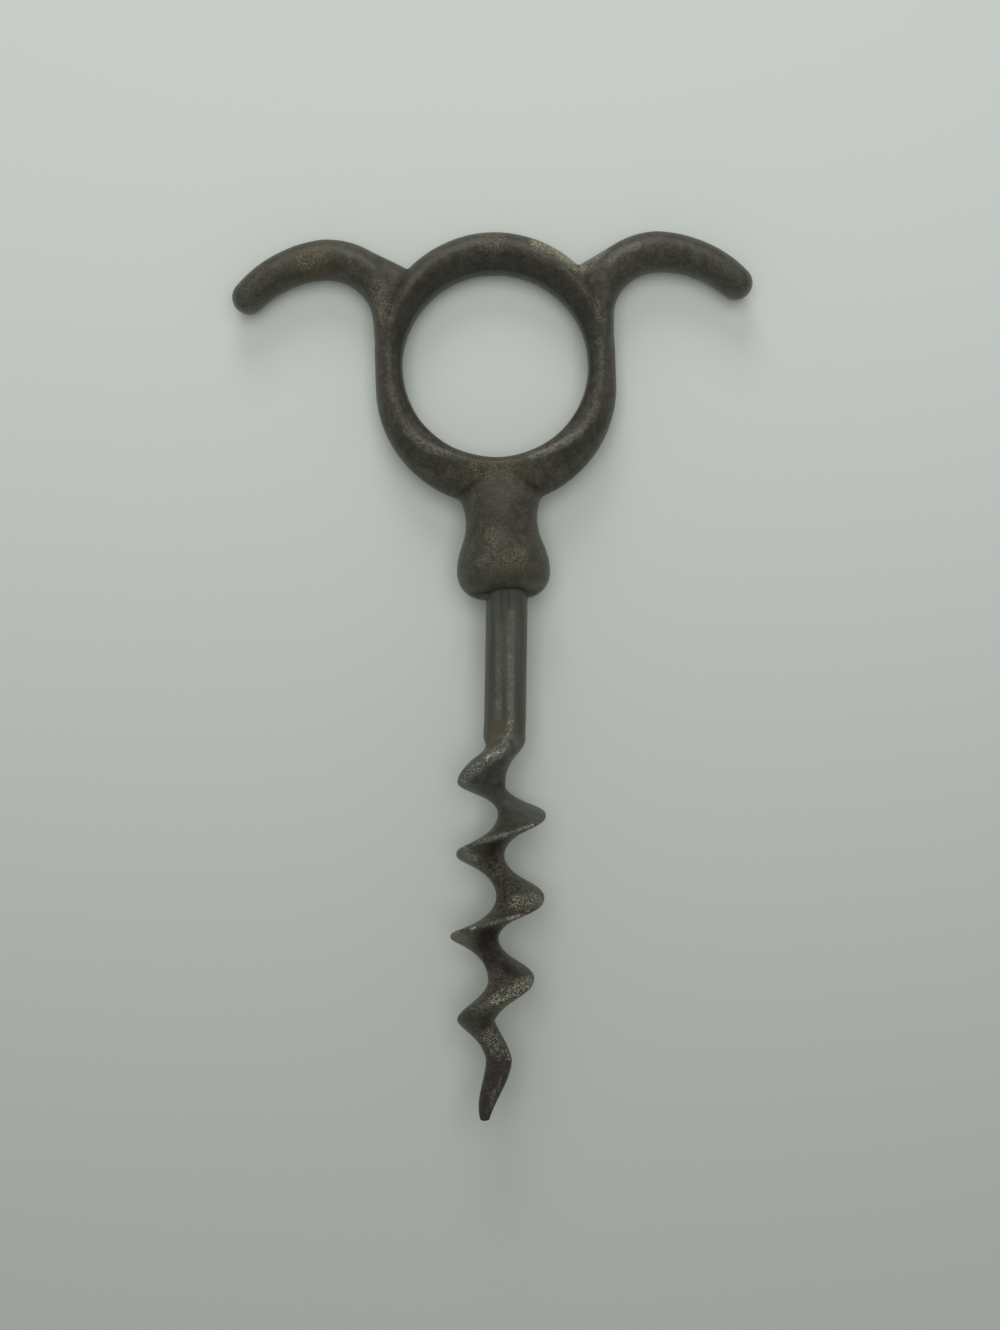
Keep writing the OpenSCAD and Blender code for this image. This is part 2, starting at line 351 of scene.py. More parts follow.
def mark_relief(piece: bpy.types.Object, name: str, rounds: int, calm_rounds: int) -> None:
    """Stores how far each point stands out of its surroundings, in the mesh's own units.

    Args:
        piece: The piece that gets the attribute.
        name: The attribute's name.
        rounds: How many times the surroundings are averaged.
        calm_rounds: How many times the result is averaged.
    """
    mesh = piece.data
    count = len(mesh.vertices)

    def read(field: str) -> np.ndarray:
        """Reads a vector of each point."""
        values = np.empty(count * 3)
        mesh.vertices.foreach_get(field, values)
        return values.reshape(count, 3)

    places = read("co")
    edges = np.empty(len(mesh.edges) * 2, dtype=np.int32)
    mesh.edges.foreach_get("vertices", edges)
    starts = np.concatenate([edges[0::2], edges[1::2]])
    ends = np.concatenate([edges[1::2], edges[0::2]])
    shares = 1 + np.bincount(starts, minlength=count)

    def average(values: np.ndarray) -> np.ndarray:
        """Averages each point's value with its neighbours'."""
        return (values + np.bincount(starts, weights=values[ends], minlength=count)) / shares

    broad = places
    for _ in range(rounds):
        broad = np.stack([average(broad[:, axis]) for axis in range(3)], axis=1)
    relief = ((places - broad) * read("normal")).sum(axis=1)
    for _ in range(calm_rounds):
        relief = average(relief)
    mesh.attributes.new(name, "FLOAT", "POINT").data.foreach_set("value", relief.astype(np.float32))


# Shader maths


class Signal:
    """A shader socket that can be used in sums."""

    def __init__(self, graph: "Graph", socket: bpy.types.NodeSocket) -> None:
        """Wraps one output socket of a graph."""
        self.graph = graph
        self.socket = socket

    def _sum(self, operation: str, first: Feed, second: Feed) -> "Signal":
        """Adds one Math node."""
        return self.graph.add("ShaderNodeMath", {"operation": operation}, {0: first, 1: second})

    def __add__(self, other: Feed) -> "Signal":
        """Adds."""
        return self._sum("ADD", self, other)

    __radd__ = __add__

    def __sub__(self, other: Feed) -> "Signal":
        """Takes the other away."""
        return self._sum("SUBTRACT", self, other)

    def __rsub__(self, other: Feed) -> "Signal":
        """Is taken away from the other."""
        return self._sum("SUBTRACT", other, self)

    def __mul__(self, other: Feed) -> "Signal":
        """Multiplies."""
        return self._sum("MULTIPLY", self, other)

    __rmul__ = __mul__

    def __or__(self, other: Feed) -> "Signal":
        """Takes the larger of the two."""
        return self._sum("MAXIMUM", self, other)

    __ror__ = __or__

    def __and__(self, other: Feed) -> "Signal":
        """Takes the smaller of the two."""
        return self._sum("MINIMUM", self, other)

    __rand__ = __and__

    def clamp(self, high: float) -> "Signal":
        """Keeps it between 0 and a value."""
        return (self & high) | 0.0

    def step(self, low: float, high: float) -> "Signal":
        """Rises smoothly from 0 to 1, or falls where low is the larger value.

        Args:
            low: The value that gives 0.
            high: The value that gives 1.

        Returns:
            The step.
        """
        rising = low < high
        edges = (low, high) if rising else (high, low)
        ends = (0.0, 1.0) if rising else (1.0, 0.0)
        return self.graph.add(
            "ShaderNodeMapRange",
            {"interpolation_type": "SMOOTHSTEP"},
            {0: self, 1: edges[0], 2: edges[1], 3: ends[0], 4: ends[1]},
        )


class Graph:
    """The nodes of one material."""

    def __init__(self, name: str) -> None:
        """Starts a material with one Principled shader.

        Args:
            name: The material's name.
        """
        self.material = bpy.data.materials.new(name)
        self.material.use_nodes = True
        self.tree = self.material.node_tree
        self.shader = self.tree.nodes["Principled BSDF"]

    def add(
        self,
        kind: str,
        settings: Optional[Mapping[str, object]] = None,
        feeds: Optional[Mapping[Union[int, str], Feed]] = None,
        output: Union[int, str] = 0,
    ) -> Signal:
        """Adds any node.

        Args:
            kind: The node's type.
            settings: Its own settings, which are set first.
            feeds: A value or a link for each of its sockets.
            output: The output that is wanted.

        Returns:
            That output.
        """
        node = self.tree.nodes.new(kind)
        for name, value in (settings or {}).items():
            setattr(node, name, value)
        for socket, value in (feeds or {}).items():
            self.feed(node.inputs[socket], value)
        return Signal(self, node.outputs[output])

    def feed(self, socket: bpy.types.NodeSocket, value: Feed) -> None:
        """Links a signal to a socket, or sets a plain value on it.

        Args:
            socket: The socket.
            value: What goes into it.
        """
        if isinstance(value, Signal):
            self.tree.links.new(value.socket, socket)
        elif socket.type == "RGBA":
            socket.default_value = (*value, 1.0)
        else:
            socket.default_value = value

    def set(self, **feeds: Feed) -> bpy.types.Material:
        """Feeds the shader.

        Args:
            feeds: What goes into each socket, with the sockets named in lower case.

        Returns:
            The material.
        """
        names = {socket.name.lower().replace(" ", "_"): socket for socket in self.shader.inputs}
        for name, value in feeds.items():
            self.feed(names[name], value)
        return self.material

    def attribute(self, name: str) -> Signal:
        """Reads a number that the piece's points carry."""
        return self.add("ShaderNodeAttribute", {"attribute_name": name}, output="Fac")

    def millimetres(self, seat: Matrix) -> Signal:
        """Measures places on the piece in the handle's frame.

        Args:
            seat: From the handle's frame to the row's frame.

        Returns:
            The place, in millimetres.
        """
        place = self.add("ShaderNodeTexCoord", output="Object")
        location, rotation, scale = seat.decompose()
        feeds = {"Vector": place, "Location": location, "Rotation": rotation.to_euler(), "Scale": scale}
        return self.add("ShaderNodeMapping", {"vector_type": "TEXTURE"}, feeds)

    def along(self, place: Feed, way: Point) -> Signal:
        """Gives how far a place lies along a direction."""
        return self.add("ShaderNodeVectorMath", {"operation": "DOT_PRODUCT"}, {0: place, 1: way}, "Value")

    def vector(self, operation: str, first: Feed, second: Feed = (0, 0, 0), scale: Feed = 1.0) -> Signal:
        """Adds one Vector Math node and gives its vector."""
        return self.add("ShaderNodeVectorMath", {"operation": operation}, {0: first, 1: second, 3: scale})

    def distance(self, first: Feed, second: Feed) -> Signal:
        """Gives the distance between two places."""
        return self.add("ShaderNodeVectorMath", {"operation": "DISTANCE"}, {0: first, 1: second}, "Value")

    def noise(self, place: Signal, scale: float, detail: float = 4.0, roughness: float = 0.6) -> Signal:
        """Gives cloudy noise around one half, with features of about 1 / scale."""
        return self.add(
            "ShaderNodeTexNoise",
            {"noise_dimensions": "3D"},
            {"Vector": place, "Scale": scale, "Detail": detail, "Roughness": roughness},
        )

    def mix(self, share: Feed, first: Feed, second: Feed) -> Signal:
        """Mixes two colours."""
        return self.add("ShaderNodeMix", {"data_type": "RGBA"}, {0: share, 6: first, 7: second}, 2)

    def bump(self, height: Signal, distance: float) -> Signal:
        """Turns a height into a normal."""
        return self.add("ShaderNodeBump", None, {"Height": height, "Distance": distance})


@dataclass(frozen=True)
class Patch:
    """A blotch on a piece, a line of wear, a painted highlight or painted shade: a mask that fades out
    around a point or a chain of points.

    The points and the reach are in millimetres, and the mask is at its full strength up to a share
    of its reach.
    """

    points: tuple[Point, ...]
    reach: float
    strength: float = 1.0
    full: float = 0.35

    def on(self, graph: Graph, place: Signal) -> Signal:
        """Lays the patch on a piece.

        Args:
            graph: The material's graph.
            place: The place on the piece, in millimetres.

        Returns:
            The mask at that place.
        """
        if len(self.points) == 1:
            far = graph.distance(place, self.points[0])
        else:
            far = self._from_chain(graph, place)
        return far.step(self.reach, self.reach * self.full) * self.strength

    def _from_chain(self, graph: Graph, place: Signal) -> Signal:
        """Measures how far a place is from the chain.

        Args:
            graph: The material's graph.
            place: The place on the piece, in millimetres.

        Returns:
            The distance to the chain's nearest stretch.
        """
        nearest = None
        for start, end in zip(self.points, self.points[1:]):
            stretch = Vector(end) - Vector(start)
            way = tuple(stretch.normalized())
            arm = graph.vector("SUBTRACT", place, start)
            along = graph.along(arm, way).clamp(stretch.length)
            foot = graph.vector("SCALE", way, scale=along)
            far = graph.distance(arm, foot)
            nearest = far if nearest is None else nearest & far
        return nearest


def masks(graph: Graph, place: Signal, patches: Sequence[Patch]) -> Signal:
    """Joins several patches into one mask.

    Args:
        graph: The material's graph.
        place: The place on the piece, in millimetres.
        patches: The patches.

    Returns:
        The strongest of them at each place.
    """
    mask = patches[0].on(graph, place)
    for patch in patches[1:]:
        mask = mask | patch.on(graph, place)
    return mask


# Finishes


def arc(radius: float, start: float, end: float, z: float, count: int) -> tuple[Point, ...]:
    """Gives points along an arc about the ring's centre.

    Args:
        radius: The arc's radius in millimetres.
        start: Where it starts, in degrees from the right.
        end: Where it ends.
        z: Its height above the handle's middle plane.
        count: How many points it has.

    Returns:
        The points.
    """
    angles = [math.radians(start + (end - start) * step / (count - 1)) for step in range(count)]
    return tuple((radius * math.cos(angle), radius * math.sin(angle), z) for angle in angles)


@dataclass(frozen=True)
class CastIronFinish:
    """Old cast iron: a brown patina with rust and pale corrosion, greyer where it is worn, lightened on its
    crests as painted highlight and darkened in its hollows and creases as painted shade.

    The patches lie in the handle's frame, and the scales of the noises are counts to the millimetre.
    """

    seat: Matrix
    cloud_scale: float = 0.22
    mottle_scale: float = 0.9
    grain_scale: float = 5.0
    bump_depth: float = 0.12 * MM
    metal: float = 0.25
    brown: Colour = (0.028, 0.0247, 0.0177)
    grey: Colour = (0.072, 0.072, 0.056)
    # Pale grey of worn polish, also used for the painted highlights.
    pale: Colour = (0.18, 0.18, 0.155)
    rust: Colour = (0.058, 0.043, 0.021)
    tan: Colour = (0.13, 0.118, 0.070)
    chalk: Colour = (0.40, 0.40, 0.28)
    # Near-black of painted shade in hollows and creases, with some sooty grime.
    soot_and_shade: Colour = (0.008, 0.007, 0.0055)
    sheen: Colour = (1.0, 0.99, 0.92)
    rusty: tuple[Patch, ...] = (
        Patch(((-3.0, -14.8, 2.9), (2.4, -14.8, 2.9)), 3.2, 0.75),
        Patch(((0.2, -27.4, 5.2), (1.6, -27.4, 5.2)), 3.0),
        Patch(((1.8, -23.6, 4.0),), 4.0, 0.25),
        Patch(((-24.0, 15.0, 2.5),), 5.5, 0.6),
    )
    # Painted shade on the ring's inner slope at the top, along the bore's edges on the limbs and over the
    # neck's crown, and grime below the lower crests.
    grime_and_shade: tuple[Patch, ...] = (
        Patch(arc(14.2, 15, 165, 1.8, 9), 1.9, 0.6, 0.6),
        Patch(arc(12.9, 165, 222, 1.6, 6), 1.0, 0.6),
        Patch(arc(12.9, -38, 15, 1.6, 6), 1.0, 0.6),
        Patch(((8.0, -13.6, 2.4), (10.2, -12.3, 2.4), (12.2, -10.6, 2.4), (13.8, -8.6, 2.4)), 1.5, 0.55),
        Patch(((-13.6, -10.0, 2.4), (-10.6, -13.0, 2.4), (-8.2, -14.0, 2.4)), 1.5, 0.45),
        Patch(((-0.6, -18.4, 4.2), (0.4, -20.4, 4.6)), 3.4, 0.32),
    )
    # Painted highlights, with some worn polish: lines along the lower crests, the limbs, the right rest and
    # web, and two spots on the bell.
    polish_and_highlight: tuple[Patch, ...] = (
        Patch(((4.6, -13.0, 2.9), (6.8, -12.3, 2.9), (8.9, -11.4, 2.9), (10.9, -10.2, 2.9)), 0.9, 0.8),
        Patch(((10.9, -10.2, 2.9), (12.5, -8.4, 2.9), (13.5, -6.2, 2.9)), 0.8, 0.45),
        Patch(((-12.3, -9.0, 2.9), (-9.2, -11.6, 2.9), (-6.8, -12.3, 2.9)), 0.9, 0.5),
        Patch(((15.6, 13.0, 2.9), (17.5, 14.4, 3.0), (19.9, 15.1, 3.0)), 0.9, 0.4),
        Patch(((14.0, 8.1, 2.9), (14.3, 5.0, 2.9)), 0.5, 0.5),
        Patch(arc(14.5, 164, 220, 2.9, 6), 0.7, 0.28),
        Patch(arc(14.3, -32, 18, 2.9, 6), 0.7, 0.28),
        Patch(((-3.4, -27.5, 4.8), (-2.3, -26.8, 5.2)), 0.9, 0.35),
        Patch(((2.0, -26.3, 5.2), (3.0, -26.3, 5.0)), 0.8, 0.4),
    )
    chalky: tuple[Patch, ...] = (
        Patch(((6.3, 16.0, 1.8), (9.2, 14.8, 1.8), (11.9, 12.7, 1.8)), 1.7, 1.6),
        Patch(((12.3, 12.6, 1.5), (14.9, 14.6, 1.5)), 1.6, 0.9),
        Patch(((-15.2, 10.6, 2.5), (-14.9, 7.0, 2.9)), 1.9, 0.35),
        Patch(((-25.0, 15.0, 3.0), (-23.4, 15.4, 3.0)), 2.2, 0.4),
        Patch(((0.0, 16.4, 2.5),), 3.0, 0.3),
        Patch(((-3.0, -14.6, 3.0), (2.0, -14.9, 3.0)), 2.2, 0.25),
        Patch(((-1.7, -23.4, 4.9), (-1.5, -25.1, 5.2)), 1.5, 0.28),
        Patch(((-0.6, -27.2, 5.6), (2.0, -27.2, 5.5)), 1.8, 0.26),
    )

    def material(self) -> bpy.types.Material:
        """Builds the finish.

        Returns:
            The material.
        """
        graph = Graph("old_cast_iron")
        place = graph.millimetres(self.seat)
        relief = graph.attribute("relief")
        clouds = graph.noise(place, self.cloud_scale, 3.0)
        mottle = graph.noise(place, self.mottle_scale, 5.0, 0.65)
        grain = graph.noise(place, self.grain_scale, 6.0, 0.7)
        # Raised places are greyed as wear and, on the crests, as painted highlight; broad clouds add more
        # grey.
        wear_and_highlight = relief.step(0.02, 0.16) * 0.5 + clouds.step(0.35, 0.7) * 0.5
        patina = mottle * 0.5 + grain * 0.5
        colour = graph.mix(wear_and_highlight * 0.42 + patina.step(0.44, 0.59) * 0.56, self.brown, self.grey)
        rusty = masks(graph, place, self.rusty) * mottle.step(0.35, 0.6)
        colour = graph.mix(rusty * 0.8, colour, self.rust)
        # Painted highlight, with some worn polish, laid in the pale colour along the crests and on the
        # bell.
        polish_and_highlight = masks(graph, place, self.polish_and_highlight) * grain.step(0.4, 0.6)
        colour = graph.mix(polish_and_highlight, colour, self.pale)
        specks = masks(graph, place, self.chalky) + 0.08
        crowd = grain + specks * 0.05
        tan = specks * crowd.step(0.46, 0.6)
        colour = graph.mix(tan, colour, self.tan)
        chalk = specks * crowd.step(0.52, 0.66) * mottle.step(0.38, 0.55)
        colour = graph.mix(chalk, colour, self.chalk)
        # Painted shade, with some grime: hollows, creases and the patches above are darkened towards
        # near-black.
        hollow = relief.step(-0.01, -0.09) | masks(graph, place, self.grime_and_shade)
        colour = graph.mix(hollow * 0.75 * (1 - chalk), colour, self.soot_and_shade)
        dull = rusty * 0.22 + chalk * 0.2 + hollow * 0.15
        roughness = 0.31 + mottle * 0.14 + dull - (relief.step(0.02, 0.12) | polish_and_highlight) * 0.06
        height = grain * 0.5 + mottle * 0.5 + chalk * 0.3
        return graph.set(
            base_color=colour,
            roughness=roughness,
            metallic=self.metal,
            specular_ior_level=0.5,
            specular_tint=self.sheen,
            normal=graph.bump(height, self.bump_depth),
        )


@dataclass(frozen=True)
class WornSteelFinish:
    """Dark old steel: streaked along its shank, worn and pitted on its blade, darkened on its cores with
    staining and painted shade, and lightened on its rope, edges and streaks as painted highlight.

    The patches lie in the handle's frame, and the scales of the noises are counts to the millimetre.
    """

    seat: Matrix
    streak_squeeze: Point = (1.0, 0.06, 1.0)
    streak_scale: float = 1.0
    mottle_scale: float = 0.9
    crust_scale: float = 2.2
    speck_scale: float = 4.2
    scratch_scale: float = 4.2
    scratch_stretch: float = 0.85
    bump_depth: float = 0.1 * MM
    metal: float = 0.3
    dark: Colour = (0.051, 0.051, 0.041)
    grey: Colour = (0.078, 0.080, 0.067)
    # Pale of streaks and worn steel, also used for painted highlights.
    pale: Colour = (0.19, 0.19, 0.155)
    umber: Colour = (0.022, 0.0175, 0.0135)
    drab: Colour = (0.110, 0.102, 0.068)
    # Dark brown of staining, also used for painted shade.
    stain_shade_brown: Colour = (0.0175, 0.0130, 0.0115)
    tan: Colour = (0.078, 0.070, 0.043)
    # Bright scraped steel, also used for painted highlights.
    bright: Colour = (0.42, 0.42, 0.37)
    chalk: Colour = (0.38, 0.38, 0.28)
    sheen: Colour = (1.0, 0.99, 0.92)
    rope: Point = (-0.66, -0.745, 0.1)
    corroded: Patch = Patch(((-4.0, -85.0, 0.0),), 27.0, 0.85, 0.6)
    pitted: tuple[Patch, ...] = (
        Patch(((2.2, -72.3, 1.4), (0.4, -72.9, 2.8)), 2.1, 0.65),
        Patch(((1.4, -83.4, 0.6), (-0.6, -84.1, 3.4), (-3.4, -84.9, 4.6)), 1.6, 0.75),
        Patch(((-6.9, -65.5, 3.2), (-6.0, -66.5, 1.5)), 1.8, 1.0),
        Patch(((-8.3, -76.6, 2.8), (-7.6, -77.6, 1.4)), 1.5, 0.7),
        Patch(((-4.4, -90.4, 0.8), (-3.2, -92.2, 0.6)), 1.7, 0.45),
        Patch(((-2.3, -92.2, 0.4), (-1.9, -93.2, 0.4)), 1.0, 0.85),
    )
    # Worn steel and painted highlights: the bright rope of the first turn, thin bright lines on the blade's
    # edges and one painted glint.
    wear_and_highlight: tuple[Patch, ...] = (
        Patch(((0.2, -48.8, 2.7), (-0.1, -49.7, 2.7), (-1.1, -51.8, 3.9)), 0.7, 0.7),
        Patch(((-1.1, -51.8, 3.9), (-2.2, -53.1, 5.2), (-3.7, -54.2, 5.0), (-5.5, -55.3, 3.7)), 1.15, 0.85),
        Patch(((-5.5, -55.3, 3.7), (-6.5, -56.4, 1.9)), 1.0, 0.7),
        Patch(((2.6, -62.5, 4.3), (0.6, -63.1, 5.6)), 0.35, 0.9),
        Patch(((-1.4, -63.6, 6.0), (-3.6, -64.2, 5.6)), 0.8, 0.5),
        Patch(((0.3, -74.3, 5.3), (-1.2, -74.5, 5.9)), 0.4, 0.9),
        Patch(((-5.7, -75.6, 5.2), (-6.1, -75.8, 5.0)), 0.35),
    )
    # Pale lengthwise streaks on the shank and the tail, partly painted highlight.
    streaks_and_highlights: tuple[Patch, ...] = (
        Patch(((-1.0, -36.0, 2.8), (-1.65, -48.2, 2.8)), 0.9, 0.3),
        Patch(((-1.3, -41.2, 2.8), (-1.4, -42.8, 2.8)), 0.7, 0.5),
        Patch(((-1.5, -45.8, 2.8), (-1.65, -48.2, 2.8)), 0.8, 0.6),
        Patch(((0.8, -34.0, 2.8), (0.1, -48.3, 2.8)), 0.8, 0.4),
        Patch(((0.6, -38.6, 2.8), (0.4, -43.8, 2.8)), 0.6, 0.7),
        Patch(((0.3, -45.2, 2.8), (0.1, -48.3, 2.8)), 0.6, 0.65),
        Patch(((-4.0, -97.5, 1.1), (-4.6, -99.6, 0.8)), 0.5, 0.5),
        Patch(((-3.1, -96.0, 1.4), (-3.5, -98.4, 1.2)), 0.35, 0.6),
        Patch(((-2.2, -94.5, 1.3), (-2.5, -96.6, 1.3)), 0.4, 0.5),
    )
    tanned: tuple[Patch, ...] = (
        Patch(((-0.4, -48.7, 2.8), (-2.3, -49.8, 2.6), (-2.6, -51.4, 2.6)), 1.6),
        Patch(((-1.6, -74.8, 6.0), (-3.6, -75.3, 6.0)), 1.0, 0.9),
        Patch(((-4.6, -65.3, 4.6), (-4.0, -67.2, 2.0)), 1.6, 0.4),
    )
    # Staining and painted shade: the cores between the turns and places under the blade are darkened, and
    # the tail carries staining.
    stain_and_shade: tuple[Patch, ...] = (
        Patch(((-3.6, -76.6, 3.0), (-4.2, -79.6, 0.5)), 3.2),
        Patch(((-2.6, -64.9, 4.6), (-3.6, -66.0, 3.0)), 1.8, 0.85),
        Patch(((-1.4, -81.3, 1.0), (0.6, -81.8, 1.0)), 2.0, 0.95),
        Patch(((-2.0, -70.4, 1.0), (-1.6, -72.0, 1.5)), 1.8, 0.4),
        Patch(((-4.6, -88.0, 2.0), (-6.0, -88.0, 2.0)), 2.6, 0.8),
        Patch(((-3.0, -94.5, 1.0), (-4.6, -101.0, 0.5)), 3.4, 0.85),
    )

    def material(self) -> bpy.types.Material:
        """Builds the finish.

        Returns:
            The material.
        """
        graph = Graph("worn_steel")
        place = graph.millimetres(self.seat)
        edge = graph.attribute("edge")
        drawn = graph.vector("MULTIPLY", place, self.streak_squeeze)
        streaks = graph.noise(drawn, self.streak_scale, 4.0, 0.6)
        mottle = graph.noise(place, self.mottle_scale, 5.0, 0.65)
        lengthwise = graph.along(place, self.rope) * -self.scratch_stretch
        twisted = graph.vector("ADD", place, graph.vector("SCALE", self.rope, scale=lengthwise))
        scratches = graph.noise(twisted, self.scratch_scale, 4.0, 0.65)
        scale = graph.noise(place, self.crust_scale, 5.0, 0.7)
        specks = graph.noise(place, self.speck_scale, 3.0, 0.6)
        colour = graph.mix(streaks.step(0.34, 0.68), self.dark, self.grey)
        crust = graph.mix((scale * 0.7 + specks * 0.3).step(0.42, 0.62), self.umber, self.drab)
        colour = graph.mix(self.corroded.on(graph, place) * mottle.step(0.2, 0.5), colour, crust)
        # Painted shade, with staining, on the cores, under the blade and on the tail.
        stain_and_shade = masks(graph, place, self.stain_and_shade)
        colour = graph.mix(stain_and_shade * (0.6 + mottle.step(0.35, 0.6) * 0.4), colour, self.stain_shade_brown)
        tanned = masks(graph, place, self.tanned)
        colour = graph.mix(tanned * (0.4 + specks.step(0.35, 0.6) * 0.6), colour, self.tan)
        # Pale streaks, partly painted highlight, flecked.
        streaks_and_highlights = masks(graph, place, self.streaks_and_highlights)
        flecks = (specks * 0.6 + mottle * 0.4).step(0.42, 0.6)
        colour = graph.mix(streaks_and_highlights * (0.2 + flecks * 0.8), colour, self.pale)
        # Painted highlight, with worn steel: these patches are paled, then scraped bright together with the
        # worn edges.
        wear_and_highlight = masks(graph, place, self.wear_and_highlight)
        worn = edge.step(0.94, 1.0) * mottle.step(0.4, 0.6) * 0.5
        colour = graph.mix(wear_and_highlight * 0.35, colour, self.pale)
        scraped = (scratches * 0.65 + specks * 0.35).step(0.49, 0.62)
        colour = graph.mix((wear_and_highlight | worn) * scraped, colour, self.bright)
        chalk = masks(graph, place, self.pitted) * specks.step(0.49, 0.6)
        colour = graph.mix(chalk, colour, self.chalk)
        roughness = 0.33 + mottle * 0.16 + chalk * 0.25 + tanned * 0.15
        height = streaks * 0.3 + specks * 0.4 + scale * 0.5 + chalk * 0.3
        return graph.set(
            base_color=colour,
            roughness=roughness,
            metallic=self.metal,
            specular_ior_level=0.5,
            specular_tint=self.sheen,
            normal=graph.bump(height, self.bump_depth),
        )


@dataclass(frozen=True)
class FiledSteelFinish:
    """End of a steel pin that was filed flush and has gone dark."""

    seat: Matrix
    dark: Colour = (0.035, 0.030, 0.024)
    grey: Colour = (0.10, 0.095, 0.08)
    mark_squeeze: Point = (1.0, 6.0, 0.6)
    mark_scale: float = 1.0
    mottle_scale: float = 1.6
    bump_depth: float = 0.05 * MM
    metal: float = 0.4

    def material(self) -> bpy.types.Material:
        """Builds the finish.

        Returns:
            The material.
        """
        graph = Graph("filed_steel")
        place = graph.millimetres(self.seat)
        filed = graph.vector("MULTIPLY", place, self.mark_squeeze)
        marks = graph.noise(filed, self.mark_scale, 4.0, 0.6)
        mottle = graph.noise(place, self.mottle_scale, 4.0, 0.6)
        colour = graph.mix(marks.step(0.35, 0.7) * mottle.step(0.3, 0.6), self.dark, self.grey)
        return graph.set(
            base_color=colour,
            roughness=0.36 + mottle * 0.25,
            metallic=self.metal,
            normal=graph.bump(marks, self.bump_depth),
        )


@dataclass(frozen=True)
class FloorFinish:
    """Plain pale floor, darker towards the near side as painted fall-off of the light."""

    far: Colour = (0.560, 0.600, 0.555)
    near: Colour = (0.385, 0.413, 0.378)
    far_y: float = 0.09
    near_y: float = -0.11
    dullness: float = 0.9
    gloss: float = 0.1

    def material(self) -> bpy.types.Material:
        """Builds the finish.

        Returns:
            The material.
        """
        graph = Graph("pale_floor")
        place = graph.add("ShaderNodeTexCoord", output="Object")
        # Painted light: the floor fades from the far colour to the darker near one, as the light would fall
        # off.
        share = graph.along(place, (0, 1, 0)).step(self.near_y, self.far_y)
        colour = graph.mix(share, self.near, self.far)
        return graph.set(base_color=colour, roughness=self.dullness, specular_ior_level=self.gloss)


# Sub-assemblies


def dress(piece: bpy.types.Object, material: bpy.types.Material, node: str) -> None:
    """Gives a piece its finish, rides it on the object and hides the frame's node that it replaces.

    Args:
        piece: The finished piece.
        material: Its finish.
        node: The frame's node that it replaces.
    """
    piece.data.materials.clear()
    piece.data.materials.append(material)
    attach(piece, BODY)
    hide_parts(node)


